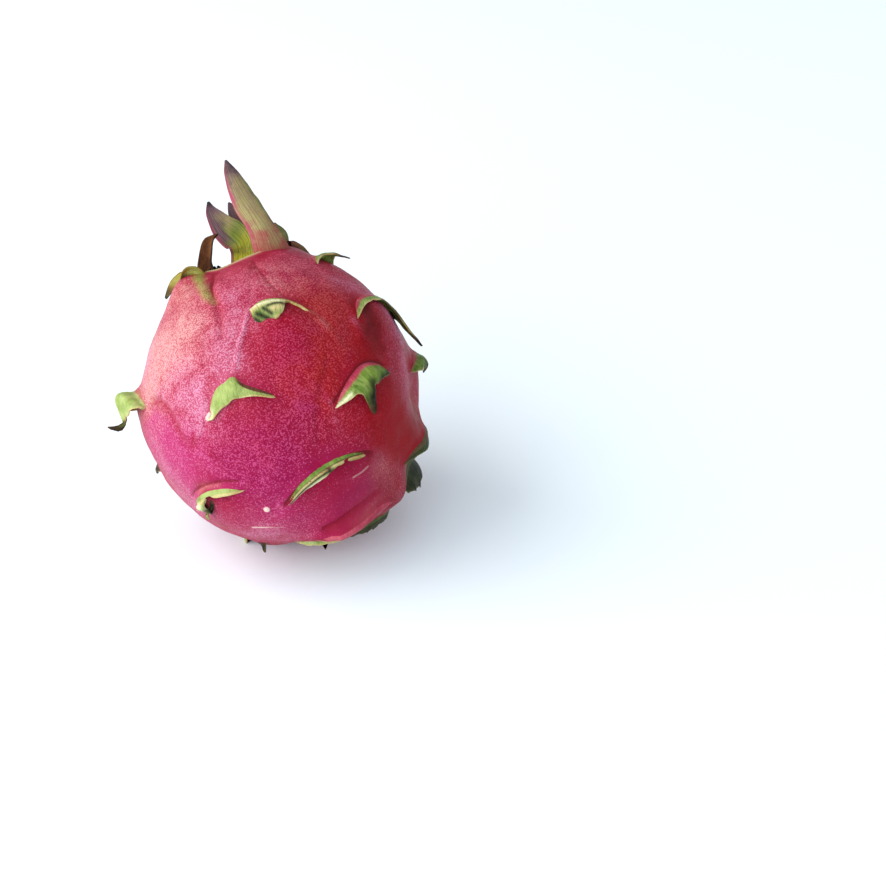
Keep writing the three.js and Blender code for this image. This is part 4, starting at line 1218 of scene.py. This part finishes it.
def make_crown_material():
    material, tree, parts = new_material("crown_scale")
    mottle = parts["mottle"]
    veins = add_veins(tree)
    tone = mix(tree, veins, (142, 128, 84), (164, 148, 102))
    for name, pattern, first, second in (
            ("green", veins, (86, 112, 24), (122, 142, 48)),
            ("yellow", veins, (164, 156, 30), (198, 194, 62)),
            ("purple", veins, (98, 72, 84), (128, 98, 104)),
            ("pink", veins, (158, 58, 84), (174, 84, 102)),
            ("skin", mottle, (132, 50, 50), (154, 76, 66)),
            ("dry", mottle, (72, 40, 22), (140, 88, 50)),
            ("burnt", mottle, (22, 18, 16), (52, 40, 34))):
        layer = mix(tree, pattern, first, second)
        tone = mix(tree, uneven(tree, mask(tree, name), parts, BLADE_UNEVEN), tone, layer)
    roughness = ramp(tree, mask(tree, "dry"), 0, 1, 0.42, 0.75)
    height = calc(tree, "MULTIPLY", veins, 0.7)
    finish_material(tree, parts, tone, roughness, height, CROWN_BUMP, BLADE_GLOSS)
    return material


def make_floor():
    bm = bmesh.new()
    bmesh.ops.create_grid(bm, x_segments=1, y_segments=1, size=FLOOR_SIDE / 2)
    material = bpy.data.materials.new("pale_floor")
    material.use_nodes = True
    shader = material.node_tree.nodes["Principled BSDF"]
    shader.inputs["Base Color"].default_value = FLOOR_TINT
    shader.inputs["Roughness"].default_value = FLOOR_ROUGHNESS
    new_object("pale_floor", bm, material)


def make_light(name, place, aim, size, power, tint):
    """A round soft light at a place, aimed at another."""
    lamp = bpy.data.lights.new(name, "AREA")
    lamp.shape = "DISK"
    lamp.size = size
    lamp.energy = power
    lamp.color = tint
    light = bpy.data.objects.new(name, lamp)
    light.location = place
    light.rotation_euler = (Vector(aim) - Vector(place)).to_track_quat("-Z", "Y").to_euler()
    bpy.context.scene.collection.objects.link(light)


def make_camera():
    """Looks down at the fruit so that its middle lands where it stands in the picture."""
    scene = bpy.context.scene
    tilt = math.radians(CAMERA_ELEVATION)
    right = np.array((1, 0, 0))
    up = np.array((0, math.sin(tilt), math.cos(tilt)))
    ahead = np.array((0, math.cos(tilt), -math.sin(tilt)))
    half = PICTURE_SIDE / 2
    target = MIDDLE + right * (half - FRUIT_MIDDLE[0]) * MM_PER_PIXEL
    target = target - up * (half - FRUIT_MIDDLE[1]) * MM_PER_PIXEL
    distance = LENS / SENSOR * PICTURE_SIDE * MM_PER_PIXEL
    camera = bpy.data.cameras.new("camera")
    camera.lens = LENS
    camera.sensor_width = SENSOR
    camera.clip_start = NEAREST
    holder = bpy.data.objects.new("camera", camera)
    holder.location = (target - ahead * distance) * MM
    holder.rotation_euler = (math.radians(90 - CAMERA_ELEVATION), 0, 0)
    scene.collection.objects.link(holder)
    scene.camera = holder


def make_world():
    scene = bpy.context.scene
    world = bpy.data.worlds.new("soft_room")
    world.use_nodes = True
    background = world.node_tree.nodes["Background"]
    background.inputs["Color"].default_value = ROOM_TINT
    background.inputs["Strength"].default_value = ROOM_STRENGTH
    scene.world = world
    scene.view_settings.view_transform = "Standard"


def make_scales(name, scales, add_one, material):
    """One piece that holds a set of scales."""
    bm = bmesh.new()
    for seed, scale in enumerate(scales):
        add_one(bm, scale, seed)
    new_piece(name, bm, material)


def main():
    make_camera()
    make_world()
    make_floor()
    for light in LIGHTS:
        make_light(**light)
    GROUPS.update(flecks=make_fleck_group(), mottle=make_mottle_group(), veins=make_vein_group())
    make_rind(make_rind_material())
    make_scales("rind_scales", SCALES, add_scale, make_scale_material())
    make_scales("crown_scales", CROWN_SCALES, add_crown_scale, make_crown_material())


main()
